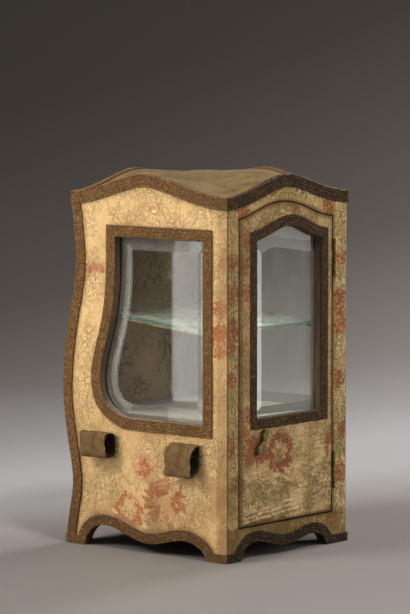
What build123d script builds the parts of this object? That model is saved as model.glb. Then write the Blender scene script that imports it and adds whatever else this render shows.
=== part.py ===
"""Display case for thimbles, in the form of a miniature sedan chair.

A small wooden carcass is covered in silk brocade and edged with woven metal galloon. It has
bevelled windows in both sides and in a hinged front door, a loose glass shelf on two rods, and
stiff loops on the sides where a sedan chair has its carrying poles.

The door faces -Y, +X is to the right of someone who faces the door, and +Z is up. The origin is
at the centre of the case's overall box, on the surface that it stands on. Millimetres.
"""
from build123d import *
from math import cos, hypot, radians, sin, tan
import os

os.makedirs("parts", exist_ok=True)

# ---------------------------------------------------------------- driving dimensions
WIDTH = 160.0            # across the silk of the two sides
CORNER_Z = 298.4         # top of the woodwork at the roof's corners
CROWN_RISE = 16.5        # the roof's edges rise this much above its corners
CROWN_DEPTH = 89.6       # depth of the side arch's crown
ROOF_Z = 290.0           # underside of the roof block, the ceiling
BACK_TOP_DEPTH = 168.0   # depth of the back at the roof
BELLY_DEPTH = 177.2      # deepest point of the back's bulge
SILK = 0.6               # thickness of the silk
GALLOON = 1.2            # thickness of the galloon's face
FOLD = 1.0               # thickness of the galloon where it turns over an edge
LEVER_PROUD = 5.4        # how far the latch lever stands out of the door

FRAME_T = 8.4            # thickness of the front frame, the sides and the door
BACK_T = 5.0             # thickness of the bent back board
SEAM = 1.0               # gap round the door
HINGE_SEAM = 1.4         # the same gap at the hinges, which holds both leaves
DOOR_LEFT, DOOR_RIGHT = -62.8, 60.0
DOOR_BOTTOM = 27.8
HEADER_Z = 276.0         # where the stiles meet the header

GLASS_T = 3.0
BEVEL_W, BEVEL_T = 14.0, 1.6
REBATE = 3.0             # how far a pane runs under the edge of its opening
BEAD_W, BEAD_T = 5.5, 3.0

WINDOW_GALLOON_W = 9.3
DOOR_GALLOON_W = 8.3
ROOF_GALLOON_W = 8.4
EDGE_GALLOON_W = 7.5
APRON_GALLOON_W = 7.6
FLANGE_W = 4.0           # how far the galloon runs in over the roof and under the arches

BOTTOM_TOP, BOTTOM_T = 26.8, 6.0      # the case's bottom board, level with the door's sill
BOTTOM_BACK = 164.0                   # depth at the bottom board's rear edge
FLOOR_TOP, FLOOR_T = 114.4, 8.0       # the raised display floor
CLEAT_W, CLEAT_H, CLEAT_LONG = 10.0, 8.0, 151.0      # battens under the display floor
BLOCK_LEG, BLOCK_H = 7.0, 17.0        # glue blocks in the corners under the bottom board
FLOOR_FRONT, FLOOR_BACK = 15.0, 169.0

SHELF_T = 3.0
SHELF_HALF = 66.0
SHELF_FRONT, SHELF_BACK = 29.3, 158.0  # depths of the glass shelf's edges
SHELF_FRONT_Z = 188.2                  # top of its front edge
SHELF_TILT = 5.5                       # degrees, rising towards the back
SHELF_ARRIS = 0.4                      # its long edges are eased this much
ROD_R, ROD_X, ROD_SEAT, ROD_LONG = 1.0, 65.2, 3.0, 161.0

LOOP_LONG, LOOP_T = 28.0, 1.8          # pole loops: length along the side, thickness of the strap
LOOP_BEND = 2.6                        # outer radius of their bends
TACK_R, TACK_LONG, TACK_PITCH = 0.6, 6.0, 16.0
TACK_HEAD = [(1.6, 0.4), (1.1, 0.3)]   # the head's two steps: radius and height

HINGE_LONG = 30.0
HINGE_Z = (63.5, 244.0)                # middles of the two hinges
KNUCKLE_R, PIN_R, LEAF_T, LEAF_W = 1.5, 0.8, 0.6, 8.0
LEAF_STANDOFF = 0.1                    # from the pin's axis to each leaf
KNUCKLE_PLAY = 0.25                    # round a barrel, in the other leaf
BARREL_PLAY = 0.15                     # at each end of a barrel
PIN_HEAD_R, PIN_HEAD_T = 1.3, 1.0
HINGE_DEPTH = -1.6                     # the hinge pin stands just in front of the door
RUNNING = 0.05                         # radial clearance of a turning fit

LATCH_X, LATCH_Z = -33.5, 103.6        # the latch's spindle
SPINDLE_R, ROSE_R, ROSE_T = 1.3, 3.3, 1.6
LEVER_GAP, LEVER_ROUND = 1.8, 1.0      # the lever's stand-off from the door, and its eased edge
HUB_R, BULB_R = 2.9, 3.1               # the lever's upper and lower ends
BULB_X, BULB_Z = -8.8, -14.6           # middle of its lower end, from the spindle
TONGUE_LONG, TONGUE_W, TONGUE_T = 34.0, 6.0, 1.2
RIVET_R, RIVET_T = 2.2, 0.8            # the spindle's riveted end, behind the tongue

# The front face is placed so that the overall box is centred on the origin.
FRONT_Y = -(BELLY_DEPTH + SILK + FOLD - LEVER_PROUD) / 2
HALF = WIDTH / 2
CROWN_TOP = CORNER_Z + CROWN_RISE + 5     # clear of every arched edge
WOOD_HALF = HALF - SILK               # outer face of the side boards
INNER_HALF = WOOD_HALF - FRAME_T      # inner face of the side boards
FRAME_DEPTH = SILK + FRAME_T          # depth at the back of the front frame
HINGE_X = DOOR_RIGHT + HINGE_SEAM / 2
BACK_FOOT_DEPTH = 173.6
BACK_ZONE = 60.0                      # a cut this deep from behind reaches through the whole back
FLOOR_GAP = 0.2                       # the galloon ends this far above the surface under the case
EASE = 0.5                            # assembly gap of the loose boards and of the tongue
FLOOR_HALF = INNER_HALF - BEAD_T - EASE
BOTTOM_FRONT = FRAME_DEPTH + EASE
TONGUE_DEPTH = FRAME_DEPTH + EASE     # the tongue passes just behind the door and the stile
SHELF_LONG = SHELF_BACK - SHELF_FRONT
PANE_RIM = REBATE - 0.2               # how far a pane itself runs under the edge of its opening

# A pole loop's section, from the top of the side's silk round to the bottom: (outwards, z).
REAR_LOOP = [(0, 98.3), (15.0, 100.6), (15.3, 77.2), (0, 78.3)]
FRONT_LOOP = [(0, 98.6), (13.4, 91.6), (14.0, 67.2), (0, 74.9)]
REAR_LOOP_DEPTH, FRONT_LOOP_DEPTH = 120.4, 28.0
TACK_PLACES = [(start + LOOP_LONG / 2 + along, z)
               for start, z in ((REAR_LOOP_DEPTH, 88.0), (FRONT_LOOP_DEPTH, 86.5))
               for along in (-TACK_PITCH / 2, TACK_PITCH / 2)]


# ---------------------------------------------------------------- planes
def side_plane(x):
    """A plane at x whose own x is the depth behind the front face and whose own y is the height."""
    return Plane(origin=(x, FRONT_Y, 0), x_dir=(0, 1, 0), z_dir=(1, 0, 0))


def front_plane(depth):
    """A plane at a depth behind the front face, seen from the front, facing -Y."""
    return Plane(origin=(0, FRONT_Y + depth, 0), x_dir=(1, 0, 0), z_dir=(0, -1, 0))


def level(z):
    """A level plane whose own y is the depth behind the front face."""
    return Plane(origin=(0, FRONT_Y, z))


def shelf_plane():
    """The tilted plane of the shelf's upper face, with its origin at the middle of its front."""
    return Plane(origin=(0, FRONT_Y + SHELF_FRONT, SHELF_FRONT_Z), x_dir=(1, 0, 0)).rotated(
        (SHELF_TILT, 0, 0))


def rod_plane(x):
    """The plane across the front end of a shelf rod, which lies along the shelf's underside."""
    slope = radians(SHELF_TILT)
    depth = FRAME_DEPTH - ROD_SEAT
    drop = (SHELF_T + ROD_R) / cos(slope) + (SHELF_FRONT - depth) * tan(slope)
    return Plane(origin=(x, FRONT_Y + depth, SHELF_FRONT_Z - drop), x_dir=(1, 0, 0),
                 z_dir=(0, cos(slope), sin(slope)))


def save(part, name):
    part.label = name
    export_step(part, f"parts/{name}.step")
    print(f"{name:26s} {part.volume / 1000:9.3f} cm3")


def sides():
    """The two sides: a name, and the sign of x."""
    return (("left", -1), ("right", 1))


# ---------------------------------------------------------------- outlines
CROWN_SHAPE = [(0.15, 0.19), (0.35, 0.73), (0.5, 1.0), (0.65, 0.73), (0.85, 0.19)]


def crown(start, end, apex, lift=0.0):
    """Points of an arched roof edge: a soft crown with hollow flanks that run out level."""
    base = CORNER_Z + lift
    points = [(start, base)]
    for share, rise in CROWN_SHAPE:
        half = (apex - start) if share <= 0.5 else (end - apex)
        points.append((apex + (share - 0.5) * 2 * half, base + rise * CROWN_RISE))
    return points + [(end, base)]


def side_crown(lift=0.0):
    return crown(0, BACK_TOP_DEPTH, CROWN_DEPTH, lift)


def front_crown(lift=0.0, half=HALF):
    return crown(-half, half, -2.0, lift)


def back_curve(shift=0.0):
    """The back's ogee from the roof to the floor: waist, belly, a tight lower waist and the foot."""
    points = [
        (BACK_TOP_DEPTH, CORNER_Z), (163.6, 268), (161.7, 245), (165.2, 214), (172.2, 181),
        (176.4, 150), (BELLY_DEPTH, 130), (174.8, 106), (169.6, 78), (166.4, 53), (169.4, 32),
        (173.2, 9), (BACK_FOOT_DEPTH, 0),
    ]
    return [(depth + shift, z) for depth, z in points]


SIDE_ARCHES = [(156.4, -1), (153.5, 9), (146, 16.6), (135, 20.2), (110, 15.3), (83.5, 9.4),
               (62, 13), (43.5, 15.8), (28.5, 11.5), (16.6, -1)]
FRONT_ARCHES = [(-63.7, -1), (-61, 6.5), (-54, 13.0), (-43, 15.4), (-22, 11.2), (-4, 8.1),
                (14, 10.6), (31, 13.4), (45, 10.6), (53.5, -1)]
BACK_ARCHES = [(-62, -1), (-56, 9), (-40, 15.5), (-16, 10.5), (0, 8.5), (16, 10.5),
               (40, 15.5), (56, 9), (62, -1)]

WINDOW_TOP, WINDOW_BOTTOM, WINDOW_FRONT = 264.0, 112.0, 24.2
WINDOW_REAR = [(120.6, WINDOW_TOP), (120.9, 231), (126.2, 191), (134.3, 164), (137.7, 141),
               (131.3, 123.6), (116.5, 114.6), (104, WINDOW_BOTTOM)]

DOOR_TOP = [(DOOR_LEFT, 281.5), (-45, 286), (-24, 292.2), (-4, 293.9), (18, 290.4),
            (40, 283), (DOOR_RIGHT, 279.2)]
PANE_LEFT, PANE_RIGHT, PANE_BOTTOM = -42.2, 44.2, 116.0
PANE_TOP = [(PANE_LEFT, 263.6), (-24, 268.4), (-8, 273.2), (4, 274.5), (16, 272.2),
            (30, 266.6), (PANE_RIGHT, 262.4)]


def parallel(points, gap):
    """Points of the line that runs beside a run of points, to the left of its direction."""
    moved = []
    for i, (x, y) in enumerate(points):
        before = points[max(i - 1, 0)]
        after = points[min(i + 1, len(points) - 1)]
        along = (after[0] - before[0], after[1] - before[1])
        run = hypot(*along)
        moved.append((x - gap * along[1] / run, y + gap * along[0] / run))
    return moved


def widened(arch, grow):
    """An arch between two upright sides, grown on all sides with square corners."""
    moved = parallel(arch, grow)
    for end, neighbour, outward in ((0, 1, -grow), (-1, -2, grow)):
        (x, y), (x_next, y_next) = moved[end], moved[neighbour]
        corner_x = arch[end][0] + outward
        moved[end] = (corner_x, y + (y_next - y) / (x_next - x) * (corner_x - x))
    return moved


def side_outline():
    """Lines of a whole side in (depth, z), from the floor to the arched roof edge."""
    Line((0, 0), (0, CORNER_Z))
    Spline(*side_crown())
    back = back_curve()
    Spline(*back)
    Line(back[-1], (0, 0))


def window_outline(grow=0.0):
    """Lines of the side window: three square sides, and a rear edge that follows the back."""
    rear = parallel(WINDOW_REAR, grow)
    rear[0] = (WINDOW_REAR[0][0] + grow, WINDOW_TOP + grow)
    rear[-1] = (WINDOW_REAR[-1][0], WINDOW_BOTTOM - grow)
    Spline(*rear, tangents=[(0, -1), (-1, 0)])
    Polyline(rear[-1], (WINDOW_FRONT - grow, WINDOW_BOTTOM - grow),
             (WINDOW_FRONT - grow, WINDOW_TOP + grow), rear[0])


def door_outline():
    """Lines of the door: an arched top on three straight sides."""
    Spline(*DOOR_TOP)
    Polyline(DOOR_TOP[-1], (DOOR_RIGHT, DOOR_BOTTOM), (DOOR_LEFT, DOOR_BOTTOM), DOOR_TOP[0])


def pane_outline(grow=0.0):
    """Lines of the glazed opening in the door."""
    top = widened(PANE_TOP, grow)
    Spline(*top)
    Polyline(top[-1], (PANE_RIGHT + grow, PANE_BOTTOM - grow),
             (PANE_LEFT - grow, PANE_BOTTOM - grow), top[0])


def arch_outline(points, grow=0.0):
    """Lines of the arched void between two feet, closed just below the floor."""
    moved = parallel(points, grow if points[0][0] < points[-1][0] else -grow)
    for end in (0, -1):
        moved[end] = (moved[end][0], points[end][1])
    Spline(*moved)
    Line(moved[-1], moved[0])


def doorway_outline():
    """Lines of the doorway: the door's own outline with the seam round it."""
    top = [(x, z + SEAM) for x, z in DOOR_TOP]
    left, right = DOOR_LEFT - SEAM, DOOR_RIGHT + HINGE_SEAM
    Spline(*top)
    Polyline(top[-1], (right, top[-1][1]), (right, DOOR_BOTTOM - SEAM),
             (left, DOOR_BOTTOM - SEAM), (left, top[0][1]), top[0])


def front_outline(half):
    """Lines of the whole front, from the floor to the arched roof edge."""
    Polyline((-half, CORNER_Z), (-half, 0), (half, 0), (half, CORNER_Z))
    Spline(*front_crown(half=half))


def back_sheet(inner, outer, top=CROWN_TOP):
    """Lines of a sheet that follows the back, between two distances from its outer face."""
    for shift in (inner, outer):
        Line((BACK_TOP_DEPTH + shift, top), (BACK_TOP_DEPTH + shift, CORNER_Z))
        Spline(*back_curve(shift))
    Line((BACK_TOP_DEPTH + inner, top), (BACK_TOP_DEPTH + outer, top))
    Line(back_curve(inner)[-1], back_curve(outer)[-1])


# ---------------------------------------------------------------- side boards and their silk
def side_board(name, sign):
    """A side board behind the front stile, with its window opening, glass rebate and arches."""
    with BuildPart() as board:
        with BuildSketch(side_plane(sign * WOOD_HALF)):
            with BuildLine():
                side_outline()
            make_face()
            with BuildLine():
                arch_outline(SIDE_ARCHES)
            make_face(mode=Mode.SUBTRACT)
            with BuildLine():
                window_outline()
            make_face(mode=Mode.SUBTRACT)
            with Locations((FRAME_DEPTH, 0)):
                Rectangle(2 * BELLY_DEPTH, ROOF_Z, align=Align.MIN, mode=Mode.INTERSECT)
        extrude(amount=-sign * FRAME_T)
        with BuildSketch(side_plane(sign * INNER_HALF)):
            with BuildLine():
                window_outline(REBATE)
            make_face()
        extrude(amount=sign * GLASS_T, mode=Mode.SUBTRACT)
        with BuildSketch(side_plane(sign * WOOD_HALF)):
            with Locations(*TACK_PLACES):
                Circle(TACK_R)
        extrude(amount=-sign * TACK_LONG, mode=Mode.SUBTRACT)
    save(board.part, name)


def side_silk(name, sign):
    """The brocade glued over one side, from the arched roof edge to the feet."""
    with BuildPart() as silk:
        with BuildSketch(side_plane(sign * WOOD_HALF)):
            with BuildLine():
                side_outline()
            make_face()
            with BuildLine():
                arch_outline(SIDE_ARCHES)
            make_face(mode=Mode.SUBTRACT)
            with BuildLine():
                window_outline()
            make_face(mode=Mode.SUBTRACT)
            with Locations(*TACK_PLACES):
                Circle(TACK_R, mode=Mode.SUBTRACT)
        extrude(amount=sign * SILK)
    save(silk.part, name)


for side, sign in sides():
    side_board(f"{side}_side_board", sign)
    side_silk(f"{side}_side_silk", sign)


# ---------------------------------------------------------------- back
with BuildPart() as back_board:
    with BuildSketch(side_plane(-INNER_HALF)):
        with BuildLine():
            back_sheet(-BACK_T, 0)
        make_face()
        Rectangle(2 * BELLY_DEPTH, ROOF_Z, align=Align.MIN, mode=Mode.INTERSECT)
    extrude(amount=2 * INNER_HALF)
    with BuildSketch(front_plane(BELLY_DEPTH)):
        with BuildLine():
            arch_outline(BACK_ARCHES)
        make_face()
    extrude(amount=BACK_ZONE, mode=Mode.SUBTRACT)
    for x in (-ROD_X, ROD_X):
        with BuildSketch(rod_plane(x)):
            Circle(ROD_R)
        extrude(amount=ROD_LONG, mode=Mode.SUBTRACT)
save(back_board.part, "back_board")

with BuildPart() as back_silk:
    with BuildSketch(side_plane(-HALF)):
        with BuildLine():
            back_sheet(0, SILK)
        make_face()
    extrude(amount=WIDTH)
    with BuildSketch(front_plane(BELLY_DEPTH + SILK)):
        with BuildLine():
            front_outline(HALF)
        make_face()
        with BuildLine():
            arch_outline(BACK_ARCHES)
        make_face(mode=Mode.SUBTRACT)
    extrude(amount=BACK_ZONE, mode=Mode.INTERSECT)
save(back_silk.part, "back_silk")

with BuildPart() as back_lining:
    with BuildSketch(side_plane(-INNER_HALF)):
        with BuildLine():
            back_sheet(-BACK_T - SILK, -BACK_T)
        make_face()
        with Locations((0, BOTTOM_TOP)):
            Rectangle(BELLY_DEPTH, ROOF_Z - BOTTOM_TOP, align=Align.MIN, mode=Mode.INTERSECT)
    extrude(amount=2 * INNER_HALF)
    for x in (-ROD_X, ROD_X):
        with BuildSketch(rod_plane(x)):
            Circle(ROD_R)
        extrude(amount=ROD_LONG, mode=Mode.SUBTRACT)
save(back_lining.part, "back_lining")


# ---------------------------------------------------------------- front frame
def front_stile(name, x_inner, x_outer):
    """An upright of the front frame. It stands on the floor, and a shelf rod ends in its back."""
    with BuildPart() as stile:
        with BuildSketch(front_plane(SILK)):
            with Locations(((x_inner + x_outer) / 2, 0)):
                Rectangle(abs(x_outer - x_inner), HEADER_Z, align=(Align.CENTER, Align.MIN))
        extrude(amount=-FRAME_T)
        with BuildSketch(rod_plane(ROD_X if x_outer > 0 else -ROD_X)):
            Circle(ROD_R)
        extrude(amount=ROD_LONG, mode=Mode.SUBTRACT)
    save(stile.part, name)


front_stile("left_front_stile", DOOR_LEFT - SEAM, -WOOD_HALF)
front_stile("right_front_stile", DOOR_RIGHT + HINGE_SEAM, WOOD_HALF)

with BuildPart() as front_header:
    with BuildSketch(front_plane(SILK)):
        with BuildLine():
            front_outline(HALF)
        make_face()
        with BuildLine():
            doorway_outline()
        make_face(mode=Mode.SUBTRACT)
        with Locations((-WOOD_HALF, HEADER_Z)):
            Rectangle(2 * WOOD_HALF, HEADER_Z, align=Align.MIN, mode=Mode.INTERSECT)
    extrude(amount=-FRAME_T)
save(front_header.part, "front_header")

with BuildPart() as front_apron:
    with BuildSketch(front_plane(SILK)):
        with Locations((DOOR_LEFT - SEAM, 0)):
            Rectangle(DOOR_RIGHT + HINGE_SEAM - DOOR_LEFT + SEAM, BOTTOM_TOP, align=Align.MIN)
        with BuildLine():
            arch_outline(FRONT_ARCHES)
        make_face(mode=Mode.SUBTRACT)
    extrude(amount=-FRAME_T)
save(front_apron.part, "front_apron")

with BuildPart() as front_silk:
    with BuildSketch(front_plane(0)):
        with BuildLine():
            front_outline(HALF)
        make_face()
        with BuildLine():
            doorway_outline()
        make_face(mode=Mode.SUBTRACT)
        with BuildLine():
            arch_outline(FRONT_ARCHES)
        make_face(mode=Mode.SUBTRACT)
        Rectangle(2 * WOOD_HALF, 2 * CROWN_TOP, mode=Mode.INTERSECT)
    extrude(amount=-SILK)
save(front_silk.part, "front_silk")


# ---------------------------------------------------------------- roof
def vault(start, half, lift=0.0):
    """Two crossed arches, one over the sides and one over the front, that make the roof's top."""
    low = ROOF_Z + 2 * lift
    with BuildPart() as arched:
        with BuildSketch(side_plane(-half)):
            with BuildLine():
                edge = Spline(*side_crown(lift))
                Polyline(edge @ 1, (BACK_TOP_DEPTH, low), (0, low), edge @ 0)
            make_face()
            with Locations((start, 0)):
                Rectangle(BELLY_DEPTH, CROWN_TOP, align=Align.MIN, mode=Mode.INTERSECT)
        extrude(amount=2 * half)
        with BuildSketch(front_plane(BACK_TOP_DEPTH)):
            with BuildLine():
                edge = Spline(*front_crown(lift))
                Line(edge @ 1, edge @ 0)
            make_face()
            Rectangle(2 * half, 2 * CROWN_TOP, mode=Mode.INTERSECT)
        extrude(amount=BACK_TOP_DEPTH - start)
    return arched.part


with BuildPart() as roof_block:
    add(vault(FRAME_DEPTH, WOOD_HALF))
    with BuildSketch(side_plane(-WOOD_HALF)):
        with BuildLine():
            back_sheet(0, BACK_T)
        make_face()
    extrude(amount=2 * WOOD_HALF, mode=Mode.SUBTRACT)
save(roof_block.part, "roof_block")

with BuildPart() as roof_silk:
    add(vault(0, HALF, SILK))
    add(vault(0, HALF), mode=Mode.SUBTRACT)
save(roof_silk.part, "roof_silk")


# ---------------------------------------------------------------- boards inside
with BuildPart() as bottom_board:
    with BuildSketch(level(BOTTOM_TOP)):
        with Locations((-INNER_HALF, BOTTOM_FRONT)):
            Rectangle(2 * INNER_HALF, BOTTOM_BACK - BOTTOM_FRONT, align=Align.MIN)
    extrude(amount=-BOTTOM_T)
save(bottom_board.part, "bottom_board")

with BuildPart() as corner_blocks:
    for x, turn_x in ((-INNER_HALF, 1), (INNER_HALF, -1)):
        for depth, turn_y in ((FRAME_DEPTH, 1), (BOTTOM_BACK, -1)):
            with BuildSketch(level(BOTTOM_TOP - BOTTOM_T)):
                with BuildLine():
                    Polyline((x, depth), (x + turn_x * BLOCK_LEG, depth),
                             (x, depth + turn_y * BLOCK_LEG), (x, depth))
                make_face()
            extrude(amount=-BLOCK_H)
save(corner_blocks.part, "corner_blocks")

with BuildPart() as display_floor:
    with BuildSketch(level(FLOOR_TOP)):
        with Locations((-FLOOR_HALF, FLOOR_FRONT)):
            Rectangle(2 * FLOOR_HALF, FLOOR_BACK - FLOOR_FRONT, align=Align.MIN)
    extrude(amount=-FLOOR_T)
save(display_floor.part, "display_floor")

with BuildPart() as floor_silk:
    with BuildSketch(level(FLOOR_TOP)):
        with Locations((-FLOOR_HALF, FLOOR_FRONT)):
            Rectangle(2 * FLOOR_HALF, FLOOR_BACK - FLOOR_FRONT, align=Align.MIN)
    extrude(amount=SILK)
save(floor_silk.part, "floor_silk")

with BuildPart() as floor_cleats:
    with BuildSketch(level(FLOOR_TOP - FLOOR_T)):
        for x in (-INNER_HALF + CLEAT_W / 2, INNER_HALF - CLEAT_W / 2):
            with Locations((x, FLOOR_FRONT)):
                Rectangle(CLEAT_W, CLEAT_LONG, align=(Align.CENTER, Align.MIN))
    extrude(amount=-CLEAT_H)
save(floor_cleats.part, "floor_cleats")


# ---------------------------------------------------------------- shelf
with BuildPart() as glass_shelf:
    with BuildSketch(shelf_plane()):
        with Locations((-SHELF_HALF, 0)):
            Rectangle(2 * SHELF_HALF, SHELF_LONG, align=Align.MIN)
    extrude(amount=-SHELF_T)
    chamfer(glass_shelf.edges().filter_by(Axis.X), length=SHELF_ARRIS)
save(glass_shelf.part, "glass_shelf")

with BuildPart() as shelf_rods:
    for x in (-ROD_X, ROD_X):
        with BuildSketch(rod_plane(x)):
            Circle(ROD_R)
        extrude(amount=ROD_LONG)
save(shelf_rods.part, "shelf_rods")


# ---------------------------------------------------------------- panes and their beads
def bevelled_pane(name, plane, outline, outward):
    """A plate of glass. Its outer face, on the outward side, has a broad ground bevel."""
    with BuildPart() as pane:
        with BuildSketch(plane):
            with BuildLine():
                outline(PANE_RIM)
            make_face()
        extrude(amount=outward * (GLASS_T - BEVEL_T))
        for lift, grow in ((GLASS_T - BEVEL_T, PANE_RIM), (GLASS_T, PANE_RIM - BEVEL_W)):
            with BuildSketch(plane.offset(outward * lift)):
                with BuildLine():
                    outline(grow)
                make_face()
        loft()
    save(pane.part, name)


def frame_ring(name, plane, outline, width, thickness):
    """A flat frame round a glazed opening: a wooden bead inside, or galloon outside."""
    with BuildPart() as ring:
        with BuildSketch(plane):
            with BuildLine():
                outline(width)
            make_face()
            with BuildLine():
                outline()
            make_face(mode=Mode.SUBTRACT)
        extrude(amount=thickness)
    save(ring.part, name)


for side, sign in sides():
    bevelled_pane(f"{side}_window_glass", side_plane(sign * INNER_HALF), window_outline, sign)
    frame_ring(f"{side}_window_bead", side_plane(sign * INNER_HALF), window_outline,
               BEAD_W, -sign * BEAD_T)
    frame_ring(f"{side}_window_galloon", side_plane(sign * HALF), window_outline,
               WINDOW_GALLOON_W, sign * GALLOON)
bevelled_pane("door_glass", front_plane(FRAME_DEPTH), pane_outline, 1)
frame_ring("door_glass_bead", front_plane(FRAME_DEPTH), pane_outline, BEAD_W, -BEAD_T)
frame_ring("door_galloon", front_plane(0), pane_outline, DOOR_GALLOON_W, GALLOON)


# ---------------------------------------------------------------- door
with BuildPart() as door_frame:
    with BuildSketch(front_plane(SILK)):
        with BuildLine():
            door_outline()
        make_face()
        with BuildLine():
            pane_outline()
        make_face(mode=Mode.SUBTRACT)
        with Locations((LATCH_X, LATCH_Z)):
            Circle(SPINDLE_R + RUNNING, mode=Mode.SUBTRACT)
    extrude(amount=-FRAME_T)
    with BuildSketch(front_plane(FRAME_DEPTH)):
        with BuildLine():
            pane_outline(REBATE)
        make_face()
    extrude(amount=GLASS_T, mode=Mode.SUBTRACT)
save(door_frame.part, "door_frame")

with BuildPart() as door_silk:
    with BuildSketch(front_plane(0)):
        with BuildLine():
            door_outline()
        make_face()
        with BuildLine():
            pane_outline()
        make_face(mode=Mode.SUBTRACT)
        with Locations((LATCH_X, LATCH_Z)):
            Circle(SPINDLE_R + RUNNING, mode=Mode.SUBTRACT)
    extrude(amount=-SILK)
save(door_silk.part, "door_silk")


# ---------------------------------------------------------------- hinges
def barrels(own):
    """Heights at which each hinge's barrels start and end: the outer two, or the middle one."""
    third = HINGE_LONG / 3
    for middle in HINGE_Z:
        low = middle - HINGE_LONG / 2
        for place in (0, 2) if own else (1,):
            yield low + place * third, low + (place + 1) * third


def hinge_leaves(name, leaf_x, own, bore_r):
    """One leaf of both hinges: a strip in the seam, and barrels that turn round the pin."""
    with BuildPart() as leaves:
        for middle in HINGE_Z:
            with BuildSketch(level(middle - HINGE_LONG / 2)):
                with Locations((leaf_x, HINGE_DEPTH)):
                    Rectangle(LEAF_T, LEAF_W - HINGE_DEPTH, align=Align.MIN)
            extrude(amount=HINGE_LONG)
        for low, high in barrels(not own):
            with BuildSketch(level(low - BARREL_PLAY)):
                with Locations((HINGE_X, HINGE_DEPTH)):
                    Circle(KNUCKLE_R + KNUCKLE_PLAY)
            extrude(amount=high - low + 2 * BARREL_PLAY, mode=Mode.SUBTRACT)
        for low, high in barrels(own):
            with BuildSketch(level(low + BARREL_PLAY)):
                with Locations((HINGE_X, HINGE_DEPTH)):
                    Circle(KNUCKLE_R)
            extrude(amount=high - low - 2 * BARREL_PLAY)
        with BuildSketch(level(0)):
            with Locations((HINGE_X, HINGE_DEPTH)):
                Circle(bore_r)
        extrude(amount=ROOF_Z, mode=Mode.SUBTRACT)
    save(leaves.part, name)


hinge_leaves("hinge_frame_leaves", HINGE_X + LEAF_STANDOFF, True, PIN_R)
hinge_leaves("hinge_door_leaves", HINGE_X - LEAF_STANDOFF - LEAF_T, False, PIN_R + RUNNING)

with BuildPart() as hinge_pins:
    for middle in HINGE_Z:
        low = middle - HINGE_LONG / 2
        for start, radius, long in ((low - PIN_HEAD_T, PIN_HEAD_R, PIN_HEAD_T),
                                    (low, PIN_R, HINGE_LONG),
                                    (low + HINGE_LONG, PIN_HEAD_R, PIN_HEAD_T)):
            with BuildSketch(level(start)):
                with Locations((HINGE_X, HINGE_DEPTH)):
                    Circle(radius)
            extrude(amount=long)
    ends = hinge_pins.faces().filter_by(Axis.Z).sort_by(Axis.Z)
    lower_ends, upper_ends = ends[:len(ends) // 2], ends[len(ends) // 2:]
    rims = [face.edges() for face in (lower_ends[0], lower_ends[-1], upper_ends[0], upper_ends[-1])]
    fillet([edge for rim in rims for edge in rim], radius=PIN_HEAD_T / 2)
save(hinge_pins.part, "hinge_pins")


# ---------------------------------------------------------------- latch
with BuildPart() as latch_rose:
    with BuildSketch(front_plane(0)):
        with Locations((LATCH_X, LATCH_Z)):
            Circle(ROSE_R)
            Circle(SPINDLE_R + RUNNING, mode=Mode.SUBTRACT)
    extrude(amount=ROSE_T)
save(latch_rose.part, "latch_rose")


def lever_outline():
    """A comma: a round hub, a neck that bows towards the hinges, and a heavier lower end."""
    bulb = Vector(BULB_X, BULB_Z)
    along = bulb.normalized()
    across = Vector(-along.Y, along.X)
    run = [
        along * -HUB_R,
        across * HUB_R,
        bulb * 0.5 + across * 3.6,
        bulb + across * BULB_R,
        bulb + along * BULB_R,
        bulb - across * BULB_R,
        bulb * 0.5 - across * 1.2,
        across * -HUB_R,
    ]
    return [(LATCH_X + point.X, LATCH_Z + point.Y) for point in run]


with BuildPart() as latch_lever:
    with BuildSketch(front_plane(-LEVER_GAP)):
        with BuildLine():
            Spline(*lever_outline(), periodic=True)
        make_face()
    extrude(amount=LEVER_PROUD - LEVER_GAP)
    fillet(latch_lever.faces().sort_by(Axis.Y)[0].edges(), radius=LEVER_ROUND)
save(latch_lever.part, "latch_lever")

with BuildPart() as latch_spindle:
    with BuildSketch(front_plane(-LEVER_GAP)):
        with Locations((LATCH_X, LATCH_Z)):
            Circle(SPINDLE_R)
    extrude(amount=-(TONGUE_DEPTH + TONGUE_T + LEVER_GAP))
    with BuildSketch(front_plane(TONGUE_DEPTH + TONGUE_T)):
        with Locations((LATCH_X, LATCH_Z)):
            Circle(RIVET_R)
    extrude(amount=-RIVET_T)
save(latch_spindle.part, "latch_spindle")

with BuildPart() as latch_tongue:
    with BuildSketch(front_plane(TONGUE_DEPTH)):
        with Locations((LATCH_X, LATCH_Z - TONGUE_LONG / 2)):
            SlotOverall(TONGUE_LONG + TONGUE_W, TONGUE_W, rotation=90)
        with Locations((LATCH_X, LATCH_Z)):
            Circle(SPINDLE_R, mode=Mode.SUBTRACT)
    extrude(amount=-TONGUE_T)
save(latch_tongue.part, "latch_tongue")


# ---------------------------------------------------------------- galloon round the roof
def roof_face_band(curve):
    """Lines of the band that hangs down the face from an arched roof edge."""
    upper, lower = curve(SILK + FOLD), curve(-ROOF_GALLOON_W)
    Spline(*upper)
    Spline(*lower)
    Line(upper[0], lower[0])
    Line(upper[-1], lower[-1])


def roof_fold(curve):
    """Lines of the fold that lies on the roof silk along the same edge."""
    upper, lower = curve(SILK + FOLD), curve(SILK)
    Spline(*upper)
    Spline(*lower)
    Line(upper[0], lower[0])
    Line(upper[-1], lower[-1])


def long_side_crown(lift=0.0):
    """The side's arched edge, run on at both ends past the galloon of the front and the back."""
    return crown(-GALLOON, BACK_TOP_DEPTH + SILK + FOLD, CROWN_DEPTH, lift)


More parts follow.
